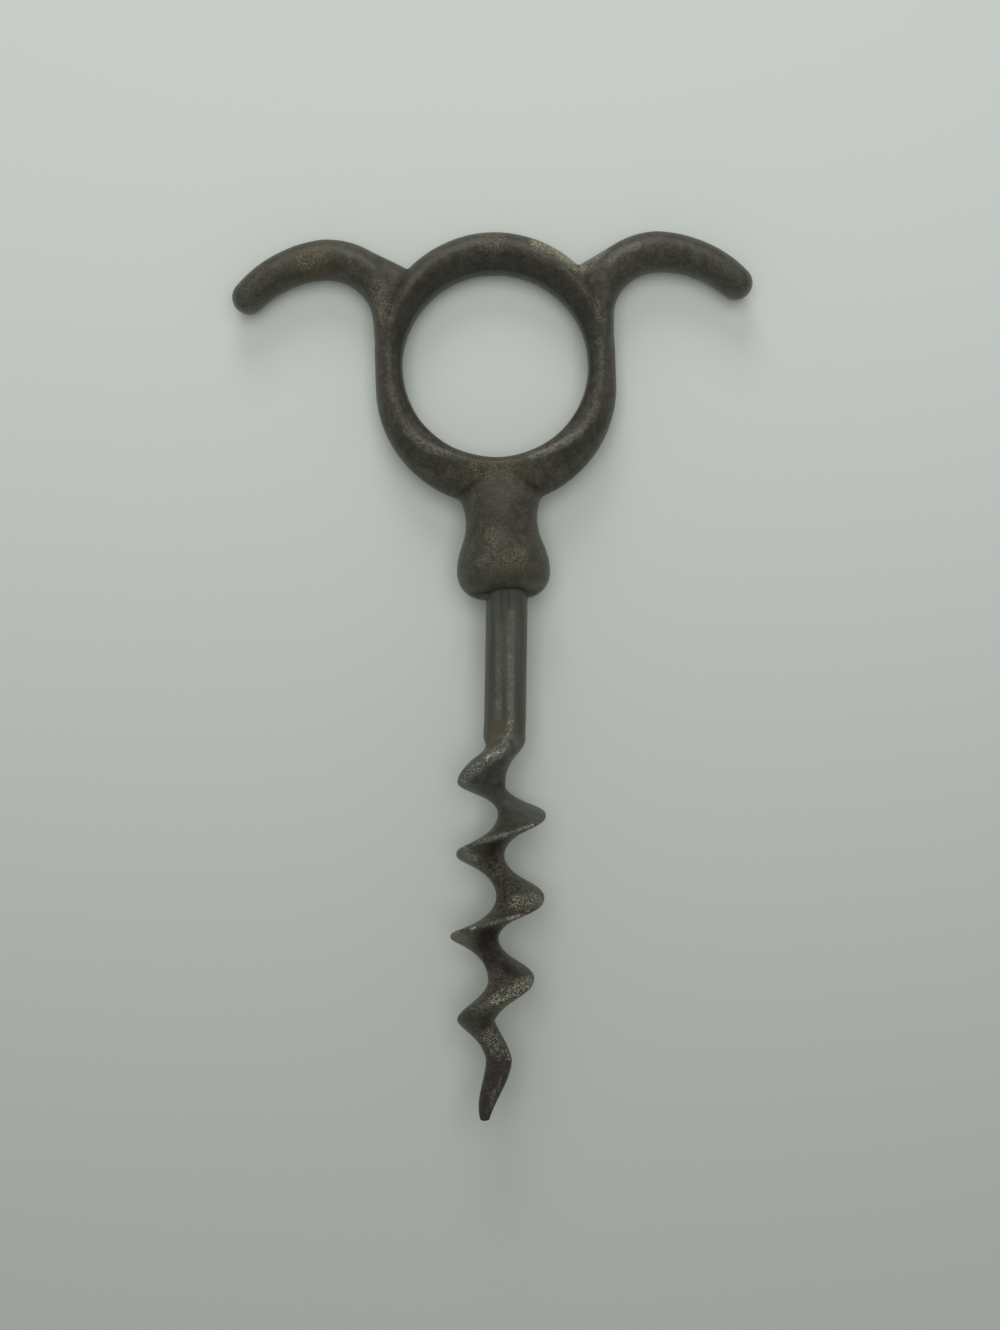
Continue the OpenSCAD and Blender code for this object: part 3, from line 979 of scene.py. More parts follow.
@dataclass
class Handle:
    """The cast handle, in millimetres from the ring's centre, with Y up to the ring's top.

    A ridge is given as the share of the ring's side that lies inside it, and a flatness as the share
    of a width that the depth is.
    """

    # Ring
    bore_r: float = 12.7
    ring_side: float = 3.7  # width of the ring's rod at its sides
    ring_top: float = 5.7  # its width at the top
    ring_bottom: float = 6.5  # its width at the bottom
    ring_depth: float = 5.8
    ridge_side: float = 0.47
    ridge_top: float = 0.56
    ridge_bottom: float = 0.17
    ridge_falls: float = 0.5  # share of the way down at which the ridge starts to move inwards
    crest_round: float = 0.6  # 0 for a straight slope from the bore to the ridge, 1 for a round one
    crest_fall: float = 0.25  # 0 for a round fall outside the ridge, 1 for a straight one
    ridge_loop: float = 0.375  # share of a face's points that lie on the slope to the bore
    slope_curve: float = 1.3  # crowds those points towards the bore
    bore_land: float = 0.48  # share of the ring's depth that the bore's wall has
    ring_segments: int = 144
    ring_sides: int = 32

    # Finger rests
    root_w: float = 2.7
    root_y: float = -4.0
    root_inset: float = 0.8  # how far inside the ring's outer edge a rest starts
    root_depth_share: float = 0.8  # share of a rest's depth that its root has
    rest_root_r: float = 6.4  # inner radius of the bend out of the ring's side
    rest_height: float = 12.6  # height of a rest's underside at its top
    rest_skew: float = 0.35  # how much lower the right one is, and higher the left one
    rest_r: float = 13.2  # radius of a rest's underside, from its top to its tip
    rest_turn: float = math.radians(44)  # how far it turns down
    rest_w: float = 5.4
    rest_tip_w: float = 4.3
    rest_depth: float = 6.2
    tip_turn: float = math.radians(84)  # how far round the tip's dome its last section lies
    rest_sides: int = 28
    root_steps: int = 5
    bend_steps: int = 14
    tip_steps: int = 7

    # Webs between the ring and the rests
    web_r: float = 2.3
    web_depth: float = 5.3
    web_ring_r: float = 1.4
    web_ring_reach: float = 0.86  # how far out on the ring's side a web starts
    web_ring_angle: float = math.radians(28)
    web_bend_angle: float = math.radians(122)
    web_notch_angle: float = math.radians(150)
    web_notch_rise: float = 1.6  # how far a web fills the notch above it
    web_soft_x: float = 15.6
    web_soft_y: float = 8.0
    web_soft_reach: float = 3.4
    web_soft_rounds: int = 40

    # Neck and bell
    waist_w: float = 9.6
    waist_drop: float = 2.2
    waist_curve_r: float = 7.5
    bell_w: float = 12.6
    bell_drop: float = 7.0
    bell_round_r: float = 3.6
    bell_flatness: float = 0.9
    waist_flatness: float = 0.98
    lip_depth: float = 1.6  # half the bell's depth at its mouth
    front_drop: float = 2.63  # height over which the bell's faces fall to that depth
    neck_turn: float = math.radians(24)  # how far the hollow of the waist goes on above it
    neck_sink: float = -0.12  # how far the neck's faces lie below the ring's where they meet
    crown_square: float = 0.2  # 0 for a square end of the neck inside the ring, 1 for a round one
    neck_soft_y: float = -17.4
    neck_soft_reach: float = 6.2
    neck_soft_rounds: int = 110
    neck_sides: int = 48
    neck_steps: int = 8

    # Socket and pin hole
    socket_r: float = 2.845
    socket_depth: float = 15.0
    shank_offset: float = 0.3  # how far to the right of the middle the socket lies
    shank_lean: float = math.radians(3.2)
    pin_r: float = 1.2
    pin_play: float = 0.03  # gap round the pin
    pin_height: float = 6.5  # height of the pin above the mouth
    socket_sides: int = 64
    pin_sides: int = 48

    # Casting
    voxel: float = 0.24  # size of the cells that fuse the parts into one skin
    sliver: float = 0.01  # points that the cuts leave closer than this are merged
    soften_rounds: int = 9
    regain: float = 0.06  # what the softening takes off, put back all over
    unevenness: float = 0.09  # height of the casting's lumps
    unevenness_scale: float = 3.5
    unevenness_depth: int = 2
    relief_rounds: int = 24
    relief_calm_rounds: int = 2

    @property
    def outer_r(self) -> float:
        """Radius of the arcs of the ring's outer edge."""
        return self.bore_r + self.ring_side

    @property
    def waist_y(self) -> float:
        """Height of the waist."""
        return -self.bore_r - self.ring_bottom - self.waist_drop

    @property
    def bell_y(self) -> float:
        """Height of the widest part of the bell."""
        return self.waist_y - self.bell_drop

    @property
    def mouth_y(self) -> float:
        """Height of the bell's mouth."""
        return self.bell_y - self.bell_round_r

    @property
    def pin_y(self) -> float:
        """Height of the cross pin."""
        return self.mouth_y + self.pin_height

    @property
    def bell_curve_r(self) -> float:
        """Radius of the bell's curve from its widest part up to the hollow at the waist."""
        gap = (self.waist_w - self.bell_w) / 2 + self.waist_curve_r
        return (gap**2 + self.bell_drop**2 - self.waist_curve_r**2) / (self.bell_w - self.waist_w)

    def rest_top(self, side: Side) -> float:
        """Height of a rest's inner edge at its top, which isn't quite the same on both sides."""
        return self.rest_height - side.value * self.rest_skew

    def bell_side(self, y: float, z: float) -> float:
        """Measures how far the bell's side stands out from its axis, on the curve up to the waist.

        Args:
            y: Height of the place.
            z: Its distance from the handle's middle plane.

        Returns:
            The distance.
        """
        curve_r = self.bell_curve_r
        half = self.bell_w / 2 - curve_r + math.sqrt(curve_r**2 - (y - self.bell_y) ** 2)
        return half * math.sqrt(1 - (z / (half * self.flatness(y))) ** 2)

    def ring(self) -> bpy.types.Object:
        """Shapes the ring from a torus.

        Returns:
            The ring's piece.
        """
        deselect()
        bpy.ops.mesh.primitive_torus_add(
            major_segments=self.ring_segments,
            minor_segments=self.ring_sides,
            major_radius=self.bore_r + self.ring_side / 2,
            minor_radius=self.ring_side / 2,
        )
        piece = bpy.context.object
        edit(piece)
        reshape(piece, self._ring_point)
        bpy.ops.object.mode_set(mode="OBJECT")
        return piece

    def _ring_point(self, place: Vector) -> Point:
        """Moves a point of the plain torus to the ring's own section.

        Args:
            place: The point on the torus.

        Returns:
            Its place on the ring, which has a ridge on each face, a slope from there to the bore, and
            an outer side that is drawn up at the top and down at the bottom.
        """
        far = place.xy.length
        lift = max(0.0, place.y / far)
        drop = max(0.0, -place.y / far)
        ridge = between(drop, self.ridge_falls, self.ridge_side, 1.0, self.ridge_bottom)
        ridge += (self.ridge_top - self.ridge_side) * lift
        share = (far - self.bore_r) / self.ring_side
        loop = math.acos(max(-1.0, min(1.0, 1 - 2 * share))) / math.pi
        if loop < self.ridge_loop:
            climb = (loop / self.ridge_loop) ** self.slope_curve
            out = ridge * climb
            rounded = climb + (math.sin(QUARTER * climb) - climb) * self.crest_round
            height = self.bore_land + (1 - self.bore_land) * rounded
        else:
            angle = QUARTER * (loop - self.ridge_loop) / (1 - self.ridge_loop)
            out = ridge + (1 - ridge) * math.sin(angle)
            straight = 1 - math.sin(angle)
            height = math.cos(angle) + (straight - math.cos(angle)) * self.crest_fall * (1 - lift)
        end = self.ring_top if place.y > 0 else self.ring_bottom
        stretch = sign(place.y) * (end - self.ring_side)
        scale = (self.bore_r + out * self.ring_side) / far
        y = place.y * scale + out * stretch
        return (place.x * scale, y, sign(place.z) * height * self.ring_depth / 2)

    def rest(self, side: Side) -> bpy.types.Object:
        """Draws one finger rest up out of the ring's side, outwards and down to its tip.

        Args:
            side: The side that it is on.

        Returns:
            The rest's piece.
        """
        way = side.value
        height = self.rest_top(side)
        bend_y = height - self.rest_root_r
        bend = (way * (self.outer_r + self.rest_root_r), bend_y, 0)
        hook = (bend[0], height - self.rest_r, 0)
        start = (way * (self.outer_r - self.root_inset - self.root_w / 2), self.root_y, 0)
        rod = Rod("rest", start, self.root_w, self.rest_depth * self.root_depth_share, self.rest_sides)
        for step in range(1, self.root_steps + 1):
            share = step / self.root_steps
            inset = self.root_inset * (1 - ease(share))
            x = way * (self.outer_r - inset - self.root_w / 2)
            y = self.root_y + (bend_y - self.root_y) * share
            depth_share = self.root_depth_share + (1 - self.root_depth_share) * share
            rod.advance((x, y, 0), self.root_w, self.rest_depth * depth_share)
        for step in range(1, self.bend_steps + 1):
            width = between(step, 0, self.root_w, self.bend_steps / 2, self.rest_w)
            rod.swing(bend, -way * QUARTER / self.bend_steps, width, self.rest_depth)
            self._hug(rod, bend, self.rest_root_r)
        for step in range(1, self.bend_steps + 1):
            width = self.rest_w + (self.rest_tip_w - self.rest_w) * step / self.bend_steps
            rod.swing(hook, -way * self.rest_turn / self.bend_steps, width, self.rest_depth)
            self._hug(rod, hook, self.rest_r)
        out = Vector((way * math.cos(self.rest_turn), -math.sin(self.rest_turn), 0))
        tip = rod.centre.copy()
        for step in range(1, self.tip_steps + 1):
            angle = self.tip_turn * step / self.tip_steps
            place = tip + out * (self.rest_tip_w / 2 * math.sin(angle))
            share = math.cos(angle)
            rod.advance(place, self.rest_tip_w * share, self.rest_depth * share)
        return rod.finish()

    def _hug(self, rod: Rod, pivot: Point, inner_r: float) -> None:
        """Moves a bend's last section so that its inner side lies on the bend's inner radius.

        Args:
            rod: The rod.
            pivot: The centre of the bend.
            inner_r: The bend's inner radius.
        """
        arm = rod.centre - Vector(pivot)
        place = Vector(pivot) + arm.normalized() * (inner_r + rod.width / 2)
        bpy.ops.transform.translate(value=place - rod.centre)
        rod.centre = place

    def web(self, side: Side) -> bpy.types.Object:
        """Fills the hollow where a rest leaves the ring.

        Args:
            side: The side that it is on.

        Returns:
            The web's piece.
        """
        bend = Vector((self.outer_r + self.rest_root_r, self.rest_top(side) - self.rest_root_r))
        bend_reach = self.rest_root_r + self.rest_w - self.web_r
        ring_reach = self.bore_r + self.ring_side * self.web_ring_reach
        balls = (
            (Vector((0, 0)), ring_reach, self.web_ring_angle, self.web_ring_r),
            (bend, bend_reach, self.web_bend_angle, self.web_r),
            (bend, bend_reach + self.web_notch_rise, self.web_notch_angle, self.web_r),
        )
        deselect()
        pieces = []
        for middle, arm, angle, radius in balls:
            x = middle.x + arm * math.cos(angle)
            y = middle.y + arm * math.sin(angle)
            deep = self.web_depth / 2 / radius
            bpy.ops.mesh.primitive_ico_sphere_add(
                subdivisions=3, radius=radius, location=(side.value * x, y, 0), scale=(1, 1, deep)
            )
            bpy.ops.object.transform_apply(location=True, rotation=True, scale=True)
            pieces.append(bpy.context.object)
        pick(*pieces)
        bpy.ops.object.join()
        edit(pieces[0])
        bpy.ops.mesh.convex_hull()
        bpy.ops.object.mode_set(mode="OBJECT")
        return pieces[0]

    def flatness(self, y: float) -> float:
        """Depth of the bell as a share of its width, at a height up to its waist."""
        return between(y, self.bell_y, self.bell_flatness, self.waist_y, self.waist_flatness)

    def neck_half_depth(self, y: float) -> float:
        """Measures the neck above its waist, where its faces lean back into the ring.

        Args:
            y: Height of the place.

        Returns:
            Half the neck's depth there.
        """
        waist = self.waist_w / 2 * self.waist_flatness
        ring = self.ring_depth / 2 - self.neck_sink
        return between(y, self.waist_y, waist, -self.bore_r - self.ring_bottom / 2, ring)

    def neck(self) -> bpy.types.Object:
        """Draws the bell out of its mouth and the neck on up to the ring.

        Returns:
            The neck's piece.
        """
        waist_r = self.waist_w / 2
        bell_r = self.bell_w / 2
        waist_centre = waist_r + self.waist_curve_r
        curve_r = self.bell_curve_r
        bell_centre = bell_r - curve_r
        blend = math.atan2(self.bell_drop, waist_centre - bell_centre)
        round_centre = bell_r - self.bell_round_r
        steps = self.neck_steps
        rod = Rod("neck", (0, self.mouth_y, 0), 2 * round_centre, 2 * self.lip_depth, self.neck_sides)
        for step in range(1, 2 * steps):
            angle = QUARTER * (1 - step / (2 * steps))
            half = round_centre + self.bell_round_r * math.cos(angle)
            y = self.bell_y - self.bell_round_r * math.sin(angle)
            drop = min(1.0, (self.bell_y - y) / self.front_drop)
            full = bell_r * self.bell_flatness - self.lip_depth
            rod.advance((0, y, 0), 2 * half, 2 * (self.lip_depth + full * math.sqrt(1 - drop**2)))
        for step in range(steps + 1):
            angle = blend * step / steps
            half = bell_centre + curve_r * math.cos(angle)
            y = self.bell_y + curve_r * math.sin(angle)
            rod.advance((0, y, 0), 2 * half, 2 * half * self.flatness(y))
        for step in range(1, steps + 1):
            angle = blend - (blend + self.neck_turn) * step / steps
            half = waist_centre - self.waist_curve_r * math.cos(angle)
            y = self.waist_y - self.waist_curve_r * math.sin(angle)
            depth = half * self.flatness(y) if y < self.waist_y else self.neck_half_depth(y)
            rod.advance((0, y, 0), 2 * half, 2 * depth)
        top_y = rod.centre.y
        top_half = rod.width / 2
        crown_y = -self.bore_r - self.ring_bottom / 4
        for step in range(1, steps):
            angle = QUARTER * step / steps
            y = top_y + (crown_y - top_y) * math.sin(angle)
            half = top_half * math.cos(angle)
            depth = self.neck_half_depth(y) * math.cos(angle) ** self.crown_square
            rod.advance((0, y, 0), 2 * half, 2 * depth)
        return rod.finish()

    def shank_seat(self) -> Matrix:
        """Gives the way from the shank's frame, with Z from the mouth to the point, to the handle's."""
        place = Matrix.Translation((self.shank_offset, self.mouth_y, 0))
        return place @ Matrix.Rotation(-self.shank_lean, 4, "Z") @ Matrix.Rotation(QUARTER, 4, "X")

    def drill(self) -> bpy.types.Object:
        """Makes the cutter for the socket, which reaches past the mouth.

        Returns:
            The cutter, in the handle's frame.
        """
        deselect()
        bpy.ops.mesh.primitive_cylinder_add(
            vertices=self.socket_sides, radius=self.socket_r, depth=2 * self.socket_depth
        )
        cutter = bpy.context.object
        cutter.matrix_world = self.shank_seat()
        bpy.ops.object.transform_apply(location=True, rotation=True, scale=True)
        return cutter

    def pin_bar(self, play: float) -> bpy.types.Object:
        """Makes a bar on the cross pin's axis, longer than the bell is wide.

        Args:
            play: How much larger its radius is than the pin's.

        Returns:
            The bar, in the handle's frame.
        """
        deselect()
        bpy.ops.mesh.primitive_cylinder_add(
            vertices=self.pin_sides,
            radius=self.pin_r + play,
            depth=2 * self.bell_w,
            location=(0, self.pin_y, 0),
            rotation=(0, QUARTER, 0),
        )
        bpy.ops.object.transform_apply(location=True, rotation=True, scale=True)
        return bpy.context.object

    def build(self, seat: Matrix, finish: CastIronFinish) -> bpy.types.Object:
        """Casts the handle in one piece.

        Args:
            seat: From the handle's frame to the row's frame.
            finish: Its finish.

        Returns:
            The handle.
        """
        pieces = [self.ring(), self.neck()]
        for side in Side:
            pieces += [self.rest(side), self.web(side)]
        pick(*pieces)
        bpy.ops.object.join()
        piece = pieces[0]
        piece.name = "cast_handle"
        modify(piece, "REMESH", mode="VOXEL", voxel_size=self.voxel, adaptivity=0.0)
        modify(piece, "SMOOTH", factor=0.5, iterations=self.soften_rounds)
        modify(piece, "DISPLACE", strength=self.regain, mid_level=0.0)
        soften(piece, (0, self.neck_soft_y, 0), self.neck_soft_reach, self.neck_soft_rounds)
        for side in Side:
            web = (side.value * self.web_soft_x, self.web_soft_y, 0)
            soften(piece, web, self.web_soft_reach, self.web_soft_rounds)
        lumps = bpy.data.textures.new("casting_lumps", "CLOUDS")
        lumps.noise_scale = self.unevenness_scale
        lumps.noise_depth = self.unevenness_depth
        lumpy = {"texture": lumps, "texture_coords": "LOCAL", "mid_level": 0.5}
        modify(piece, "DISPLACE", strength=self.unevenness, **lumpy)
        mark_relief(piece, "relief", self.relief_rounds, self.relief_calm_rounds)
        trim(piece, self.drill())
        trim(piece, self.pin_bar(self.pin_play))
        close_up(piece, self.sliver)
        drop_spare_points(piece)
        settle(piece, seat)
        dress(piece, finish.material(), "handle")
        return piece


@dataclass
class Worm:
    """The steel bar, in millimetres from the bell's mouth, with Z along the shank to the point.

    Distances along the worm, called s, start at the shank's end.
    """

    # Shank
    shank_r: float = 2.825
    shank_len: float = 16.2
    tang_len: float = 14.8
    tang_end_r: float = 2.5425
    tang_end_len: float = 0.4

    # Turns
    length: float = 53.4
    pitch: float = 11.1
    radius: float = 6.05
    core_r: float = 0.45
    core_start: float = 2.3
    core_end: float = 6.1
    lead_pitch: float = 19.3  # pitch up to the blade's first crest
    first_pitch: float = 8.2  # pitch of the tight half turn after it
    first_turn_len: float = 12.9

    # Blade
    rise_start: float = 1.9  # where the blade starts to stand out of the shank
    rise_end: float = 6.0  # where it has its full radius
    first_hollow: float = 3.2  # hollowness of the flanks where the blade starts
    hollow_end: float = 8.0
    hollowness: float = 3.8  # hollowness on the full turns
    last_hollow: float = 1.9  # hollowness where the blade runs out
    edge_land: float = 0.03  # flat on the blade's edge, as a share of half a turn
    edge_fill: float = 0.65  # how much less hollow the flanks of a sharp edge are
    edge_round: float = 0.03  # rounding of the edge, as a share of half a turn
    first_edge_round: float = 0.165
    last_edge_round: float = 0.22
    land_start: float = 8.0
    land_end: float = 14.0
    last_turn_r: float = 4.4
    last_turn_len: float = 12.7

    # Tail and point
    tail_len: float = 7.7
    tail_r: float = 1.75
    tail_offset: float = 1.25  # how far from the worm's axis the tail starts
    point_offset: float = -0.4
    point_r: float = 0.66
    point_drop: float = 0.35

    # Unevenness of the forging
    lean: float = math.radians(1.6)
    bow: float = 0.33  # how far the axis swings to each side
    waver: float = math.radians(8)  # how far the turns run ahead of an even pitch, and behind it
    waver_facing: float = math.radians(43)
    waver_full: float = 32.0  # where they do so fully

    # Scoop in the shank that the blade comes out of
    scoop_at: float = 1.4
    scoop_facing: float = math.radians(104)
    scoop_depth: float = 0.34
    scoop_len: float = 2.1
    scoop_w: float = 1.5

    # Mesh
    crowding: float = 1.7  # crowds the points of a loop towards the blade's edge
    spokes: int = 64
    step: float = 0.11  # distance between loops
    plain_steps: int = 40
    point_steps: int = 7

    @property
    def tail_start(self) -> float:
        """Distance along the worm to its tail."""
        return self.length - self.tail_len

    @property
    def taper_start(self) -> float:
        """Distance along the worm to its last turn."""
        return self.tail_start - self.last_turn_len

    @property
    def collapse_start(self) -> float:
        """Distance along the worm to where the blade runs out into the tail."""
        return self.tail_start - self.pitch / 2

    @property
    def first_crest(self) -> float:
        """Distance along the worm to where the blade first stands out sideways."""
        return self.first_turn_len - self.first_pitch / 2

    def blade_r(self, s: float) -> float:
        """Gives the blade's size.

        Args:
            s: Distance along the worm.

        Returns:
            Its outside radius.
        """
        if s < self.taper_start:
            return between(s, self.rise_start, self.shank_r, self.rise_end, self.radius)
        if s < self.collapse_start:
            return between(s, self.taper_start, self.radius, self.collapse_start, self.last_turn_r)
        if s < self.tail_start:
            return between(s, self.collapse_start, self.last_turn_r, self.tail_start, self.tail_r)
        return self.tail_r + (self.point_r - self.tail_r) * ((s - self.tail_start) / self.tail_len) ** 2

    def blade_core(self, s: float) -> float:
        """Gives the core's size.

        Args:
            s: Distance along the worm.

        Returns:
            Its radius.
        """
        if s < self.taper_start:
            return between(s, self.core_start, self.shank_r, self.core_end, self.core_r)
        core = between(s, self.collapse_start, self.core_r, self.tail_start, self.tail_r)
        return min(self.blade_r(s), core)

    def hollow(self, s: float) -> float:
        """Gives the hollowness of the blade's flanks.

        Args:
            s: Distance along the worm.

        Returns:
            The power that a flank falls with.
        """
        if s < self.taper_start:
            return between(s, self.rise_start, self.first_hollow, self.hollow_end, self.hollowness)
        return between(s, self.taper_start, self.hollowness, self.collapse_start, self.last_hollow)

    def aside(self, s: float) -> float:
        """Gives the sideways place of the worm's axis, which leans and bows a little.

        Args:
            s: Distance along the worm.

        Returns:
            The place.
        """
        bowed = 0.0
        if self.first_turn_len < s < self.tail_start:
            share = (s - self.first_turn_len) / (self.tail_start - self.first_turn_len)
            bowed = self.bow * math.sin(2 * math.pi * share)
        return bowed - math.tan(self.lean) * s

    def offset(self, s: float) -> float:
        """Gives the distance of the bar's middle from the worm's axis.

        Args:
            s: Distance along the worm.

        Returns:
            The distance.
        """
        if s < self.tail_start:
            return between(s, self.collapse_start, 0.0, self.tail_start, self.tail_offset)
        return between(s, self.tail_start, self.tail_offset, self.length, self.point_offset)

    def turn(self, s: float) -> float:
        """Direction that the blade faces, in radians.

        Args:
            s: Distance along the worm.

        Returns:
            Its angle: it turns slowly up to its first crest, then makes a tight half turn, and
            wavers a little about an even pitch after that.
        """
        if s < self.first_crest:
            return 2 * math.pi * (s - self.first_crest) / self.lead_pitch - math.pi
        if s < self.first_turn_len:
            return 2 * math.pi * (s - self.first_turn_len) / self.first_pitch
        even = 2 * math.pi * (s - self.first_turn_len) / self.pitch
        waver = between(s, self.first_turn_len, 0.0, self.waver_full, self.waver)
        return even - waver * math.cos(even - self.waver_facing)

    def flank(self, away: float, s: float) -> float:
        """Share of the blade's height left at a share of half a turn away from its edge.

        Args:
            away: How far away, from 0 at the edge to 1 on the other side.
            s: Distance along the worm.

        Returns:
            The share: all of it on the edge's land, then less and less down the hollow flank.
        """
        if s < self.taper_start:
            sharp = ease((s - self.land_start) / (self.land_end - self.land_start))
            blunt = self.first_edge_round + (self.edge_round - self.first_edge_round) * sharp
        else:
            sharp = 1 - ease((s - self.taper_start) / (self.collapse_start - self.taper_start))
            blunt = self.last_edge_round + (self.edge_round - self.last_edge_round) * sharp
        land = self.edge_land * sharp
        fall = math.hypot(max(0.0, away - land), blunt) - blunt
        whole = math.hypot(1 - land, blunt) - blunt
        return max(0.0, 1 - fall / whole) ** (self.hollow(s) - self.edge_fill * sharp)

    def scoop(self, angle: float, s: float) -> float:
        """Gives the depth of the hollow in the shank that the blade comes out of.

        Args:
            angle: Direction from the axis, in radians.
            s: Distance along the worm.

        Returns:
            The depth.
        """
        along = (s - self.scoop_at) / self.scoop_len
        turned = (angle - self.scoop_facing + math.pi) % (2 * math.pi) - math.pi
        around = turned * self.shank_r / self.scoop_w
        return self.scoop_depth * math.exp(-((along**2 + around**2) ** 2))

    def loop(self, s: float) -> tuple[list[Point], list[float]]:
        """Lays out one loop of points round the worm.

        Args:
            s: Distance along the worm.

        Returns:
            The points, the first on the blade's edge, and how near each one is to that edge.
        """
        facing = self.turn(min(s, self.tail_start))
        shift = self.offset(s)
        mid_x = shift * math.cos(facing) + self.aside(s)
        mid_y = shift * math.sin(facing)
        core = self.blade_core(s)
        height = self.blade_r(s) - core
        points = []
        marks = []
        for spoke in range(self.spokes):
            step = 2 * spoke / self.spokes
            away = step**self.crowding if step <= 1 else -((2 - step) ** self.crowding)
            share = self.flank(abs(away), s)
            angle = self.turn(s) + math.pi * away
            reach = core + height * share - self.scoop(angle, s)
            x = mid_x + reach * math.cos(angle)
            y = mid_y + reach * math.sin(angle)
            points.append((x, y, self.shank_len + s))
            marks.append(share * height / (self.radius - self.core_r))
        return points, marks

    def ring(self, z: float, radius: float) -> tuple[list[Point], list[float]]:
        """Lays out one round loop of the shank, with its points in the same order.

        Args:
            z: Its distance from the mouth.
            radius: Its radius.

        Returns:
            The points, and a nought for each one.
        """
        points, marks = self.loop(0.0)
        arms = [Vector((x, y)).normalized() * radius for x, y, _ in points]
        placed = [(arm.x, arm.y, z) for arm in arms]
        return placed, [0.0] * len(marks)

    def build(self, seat: Matrix, finish: WornSteelFinish) -> bpy.types.Object:
        """Draws the bar out from its tang to its point.

        Args:
            seat: From the shank's frame to the row's frame.
            finish: Its finish.

        Returns:
            The worm.
        """
        bar = Loft("steel_worm", *self.ring(-self.tang_len, self.tang_end_r))
        bar.extrude(*self.ring(self.tang_end_len - self.tang_len, self.shank_r))
        plain_len = self.tang_len + self.shank_len
        for step in range(1, self.plain_steps):
            z = plain_len * step / self.plain_steps - self.tang_len
            bar.extrude(*self.ring(z, self.shank_r))
        steps = math.ceil(self.length / self.step)
        for step in range(steps + 1):
            bar.extrude(*self.loop(self.length * step / steps))
        points, marks = self.loop(self.length)
        middle = sum((Vector(point) for point in points), Vector()) / len(points)
        for step in range(1, self.point_steps):
            angle = QUARTER * step / self.point_steps
            drop = Vector((0, 0, self.point_drop * math.sin(angle)))
            share = math.cos(angle)
            loop = [tuple(middle + share * (Vector(point) - middle) + drop) for point in points]
            bar.extrude(loop, marks)
        piece = bar.finish()
        settle(piece, seat)
        dress(piece, finish.material(), "worm")
        return piece


@dataclass
class CrossPin:
    """The pin through the bell and the tang, filed flush with the bell."""

    handle: Handle
    bevel_w: float = 0.06
    rings: int = 4
    end_facing: float = 0.9  # a face that points this far along the pin is an end

    def _file(self, place: Vector) -> Point:
        """Moves a point of the pin's ends to the bell's side, and its rim a bevel's width below that.

        Args:
            place: The point on the bar.

        Returns:
            Its place on the pin.
        """
        far = math.hypot(place.y - self.handle.pin_y, place.z)
        rim = self.bevel_w * (far > self.handle.pin_r - self.bevel_w / 2)
        flush = self.handle.bell_side(place.y, place.z)
        return (math.copysign(flush - rim, place.x), place.y, place.z)

    def build(self, seat: Matrix, finish: FiledSteelFinish) -> bpy.types.Object:
        """Files the pin's ends down to the bell and bevels them.

        Args:
            seat: From the handle's frame to the row's frame.
            finish: Its finish.

        Returns:
            The pin.
        """
        piece = self.handle.pin_bar(0.0)
        piece.name = "locking_pin"
        edit(piece)
        bpy.ops.mesh.select_mode(type="FACE")
        bpy.ops.mesh.select_all(action="DESELECT")
        mesh = bmesh.from_edit_mesh(piece.data)
        for face in mesh.faces:
            face.select_set(abs(face.normal.x) > self.end_facing)
        bmesh.update_edit_mesh(piece.data)
        bpy.ops.mesh.inset(thickness=self.bevel_w)
        ring_w = (self.handle.pin_r - self.bevel_w) / (self.rings + 1)
        for _ in range(self.rings):
            bpy.ops.mesh.inset(thickness=ring_w)
        reshape(piece, self._file)
        bpy.ops.mesh.select_mode(type="VERT")
        close_up(piece)
        settle(piece, seat)
        dress(piece, finish.material(), "cross_pin")
        return piece


@dataclass(frozen=True)
class Lamp:
    """A square soft light: its place and aim, size in metres and power, and whether metal mirrors it."""

    name: str
    place: Point
    aim: Point
    size: float
    power: float
    glossy: bool = True

    def light(self) -> None:
        """Sets the lamp up."""
        data = bpy.data.lights.new(self.name, "AREA")
        data.size = self.size
        data.energy = self.power
        lamp = bpy.data.objects.new(self.name, data)
        bpy.context.collection.objects.link(lamp)
        lamp.location = self.place
        lamp.visible_camera = False
        lamp.visible_glossy = self.glossy
        way = Vector(self.aim) - Vector(self.place)
        lamp.rotation_euler = way.to_track_quat("-Z", "Y").to_euler()


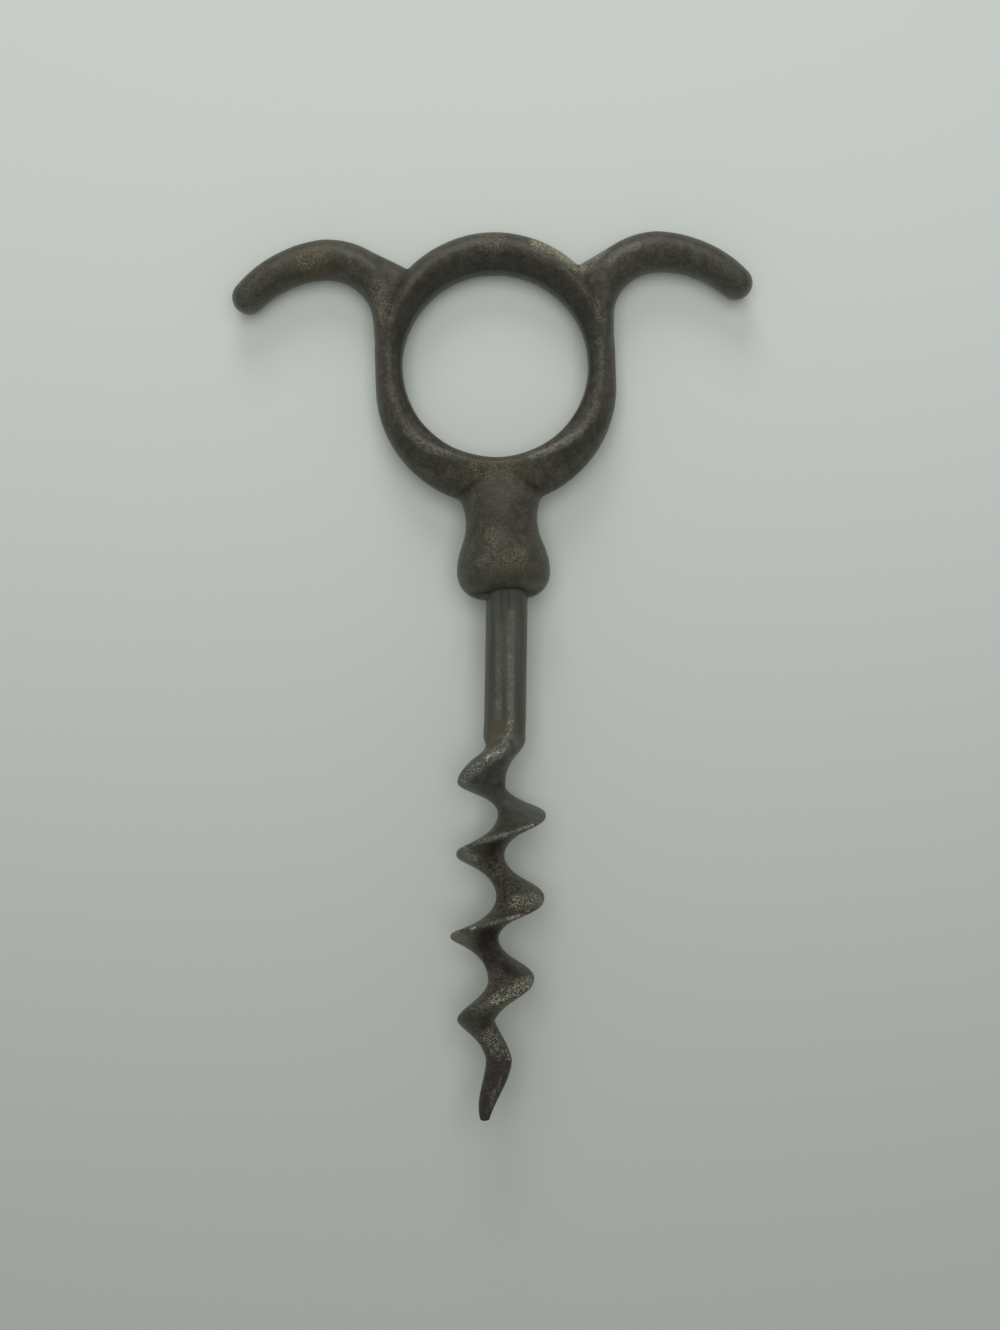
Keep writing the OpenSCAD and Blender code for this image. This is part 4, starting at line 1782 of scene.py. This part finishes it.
@dataclass
class Studio:
    """A pale floor under soft light, and a camera straight above the corkscrew."""

    camera_place: Point = (-0.0010, 0.00057, 0.25)
    camera_roll: float = math.radians(-2.3)
    lens: float = 64.76
    sensor: float = 36.0
    clip_start: float = 0.01
    floor_size: float = 4.0
    sky: Colour = (1.0, 1.0, 1.0)
    sky_strength: float = 0.34
    lamps: tuple[Lamp, ...] = (
        Lamp("window", (-0.02, 0.45, 0.26), (0, 0, 0), 0.2, 0.72),
        Lamp("ceiling", (0.01, 0.06, 0.50), (0, 0, 0), 0.4, 1.5, False),
    )

    def build(self, floor_finish: FloorFinish) -> None:
        """Lays the floor, sets the lights and stands the camera.

        Args:
            floor_finish: The floor's finish.
        """
        deselect()
        bpy.ops.mesh.primitive_plane_add(size=self.floor_size)
        floor = bpy.context.object
        floor.name = "floor"
        floor.data.materials.append(floor_finish.material())
        for lamp in self.lamps:
            lamp.light()
        scene = bpy.context.scene
        world = bpy.data.worlds.new("studio")
        world.use_nodes = True
        sky = world.node_tree.nodes["Background"]
        sky.inputs["Color"].default_value = (*self.sky, 1.0)
        sky.inputs["Strength"].default_value = self.sky_strength
        scene.world = world
        data = bpy.data.cameras.new("camera")
        data.sensor_fit = "HORIZONTAL"
        data.sensor_width = self.sensor
        data.lens = self.lens
        data.clip_start = self.clip_start
        camera = bpy.data.objects.new("camera", data)
        bpy.context.collection.objects.link(camera)
        camera.location = self.camera_place
        camera.rotation_euler = (0, 0, self.camera_roll)
        scene.camera = camera
        scene.view_settings.view_transform = "Standard"


def handle_seat() -> Matrix:
    """Works out how the handle lies from the mount on its ring.

    Returns:
        The way from the handle's frame, in millimetres, to the row's frame, in metres.
    """
    mounts = {mount["name"]: mount for mount in frame["record"]["mounts"]}
    ring = mounts["finger_ring"]
    axis = Vector(ring["axis"])
    tilt = math.atan2(axis.y, axis.z)
    return Matrix.Translation(ring["pos_m"]) @ Matrix.Rotation(-tilt, 4, "X") @ Matrix.Scale(MM, 4)


def main() -> None:
    """Builds the corkscrew and its studio."""
    logging.basicConfig(level=logging.INFO, format="%(name)s: %(message)s")
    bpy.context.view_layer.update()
    seat = handle_seat()
    handle = Handle()
    pieces = [
        handle.build(seat, CastIronFinish(seat)),
        Worm().build(seat @ handle.shank_seat(), WornSteelFinish(seat)),
        CrossPin(handle).build(seat, FiledSteelFinish(seat)),
    ]
    for piece in pieces:
        LOG.info("%s: %d faces", piece.name, len(piece.data.polygons))
    Studio().build(FloorFinish())


if __name__ == "__main__":
    main()
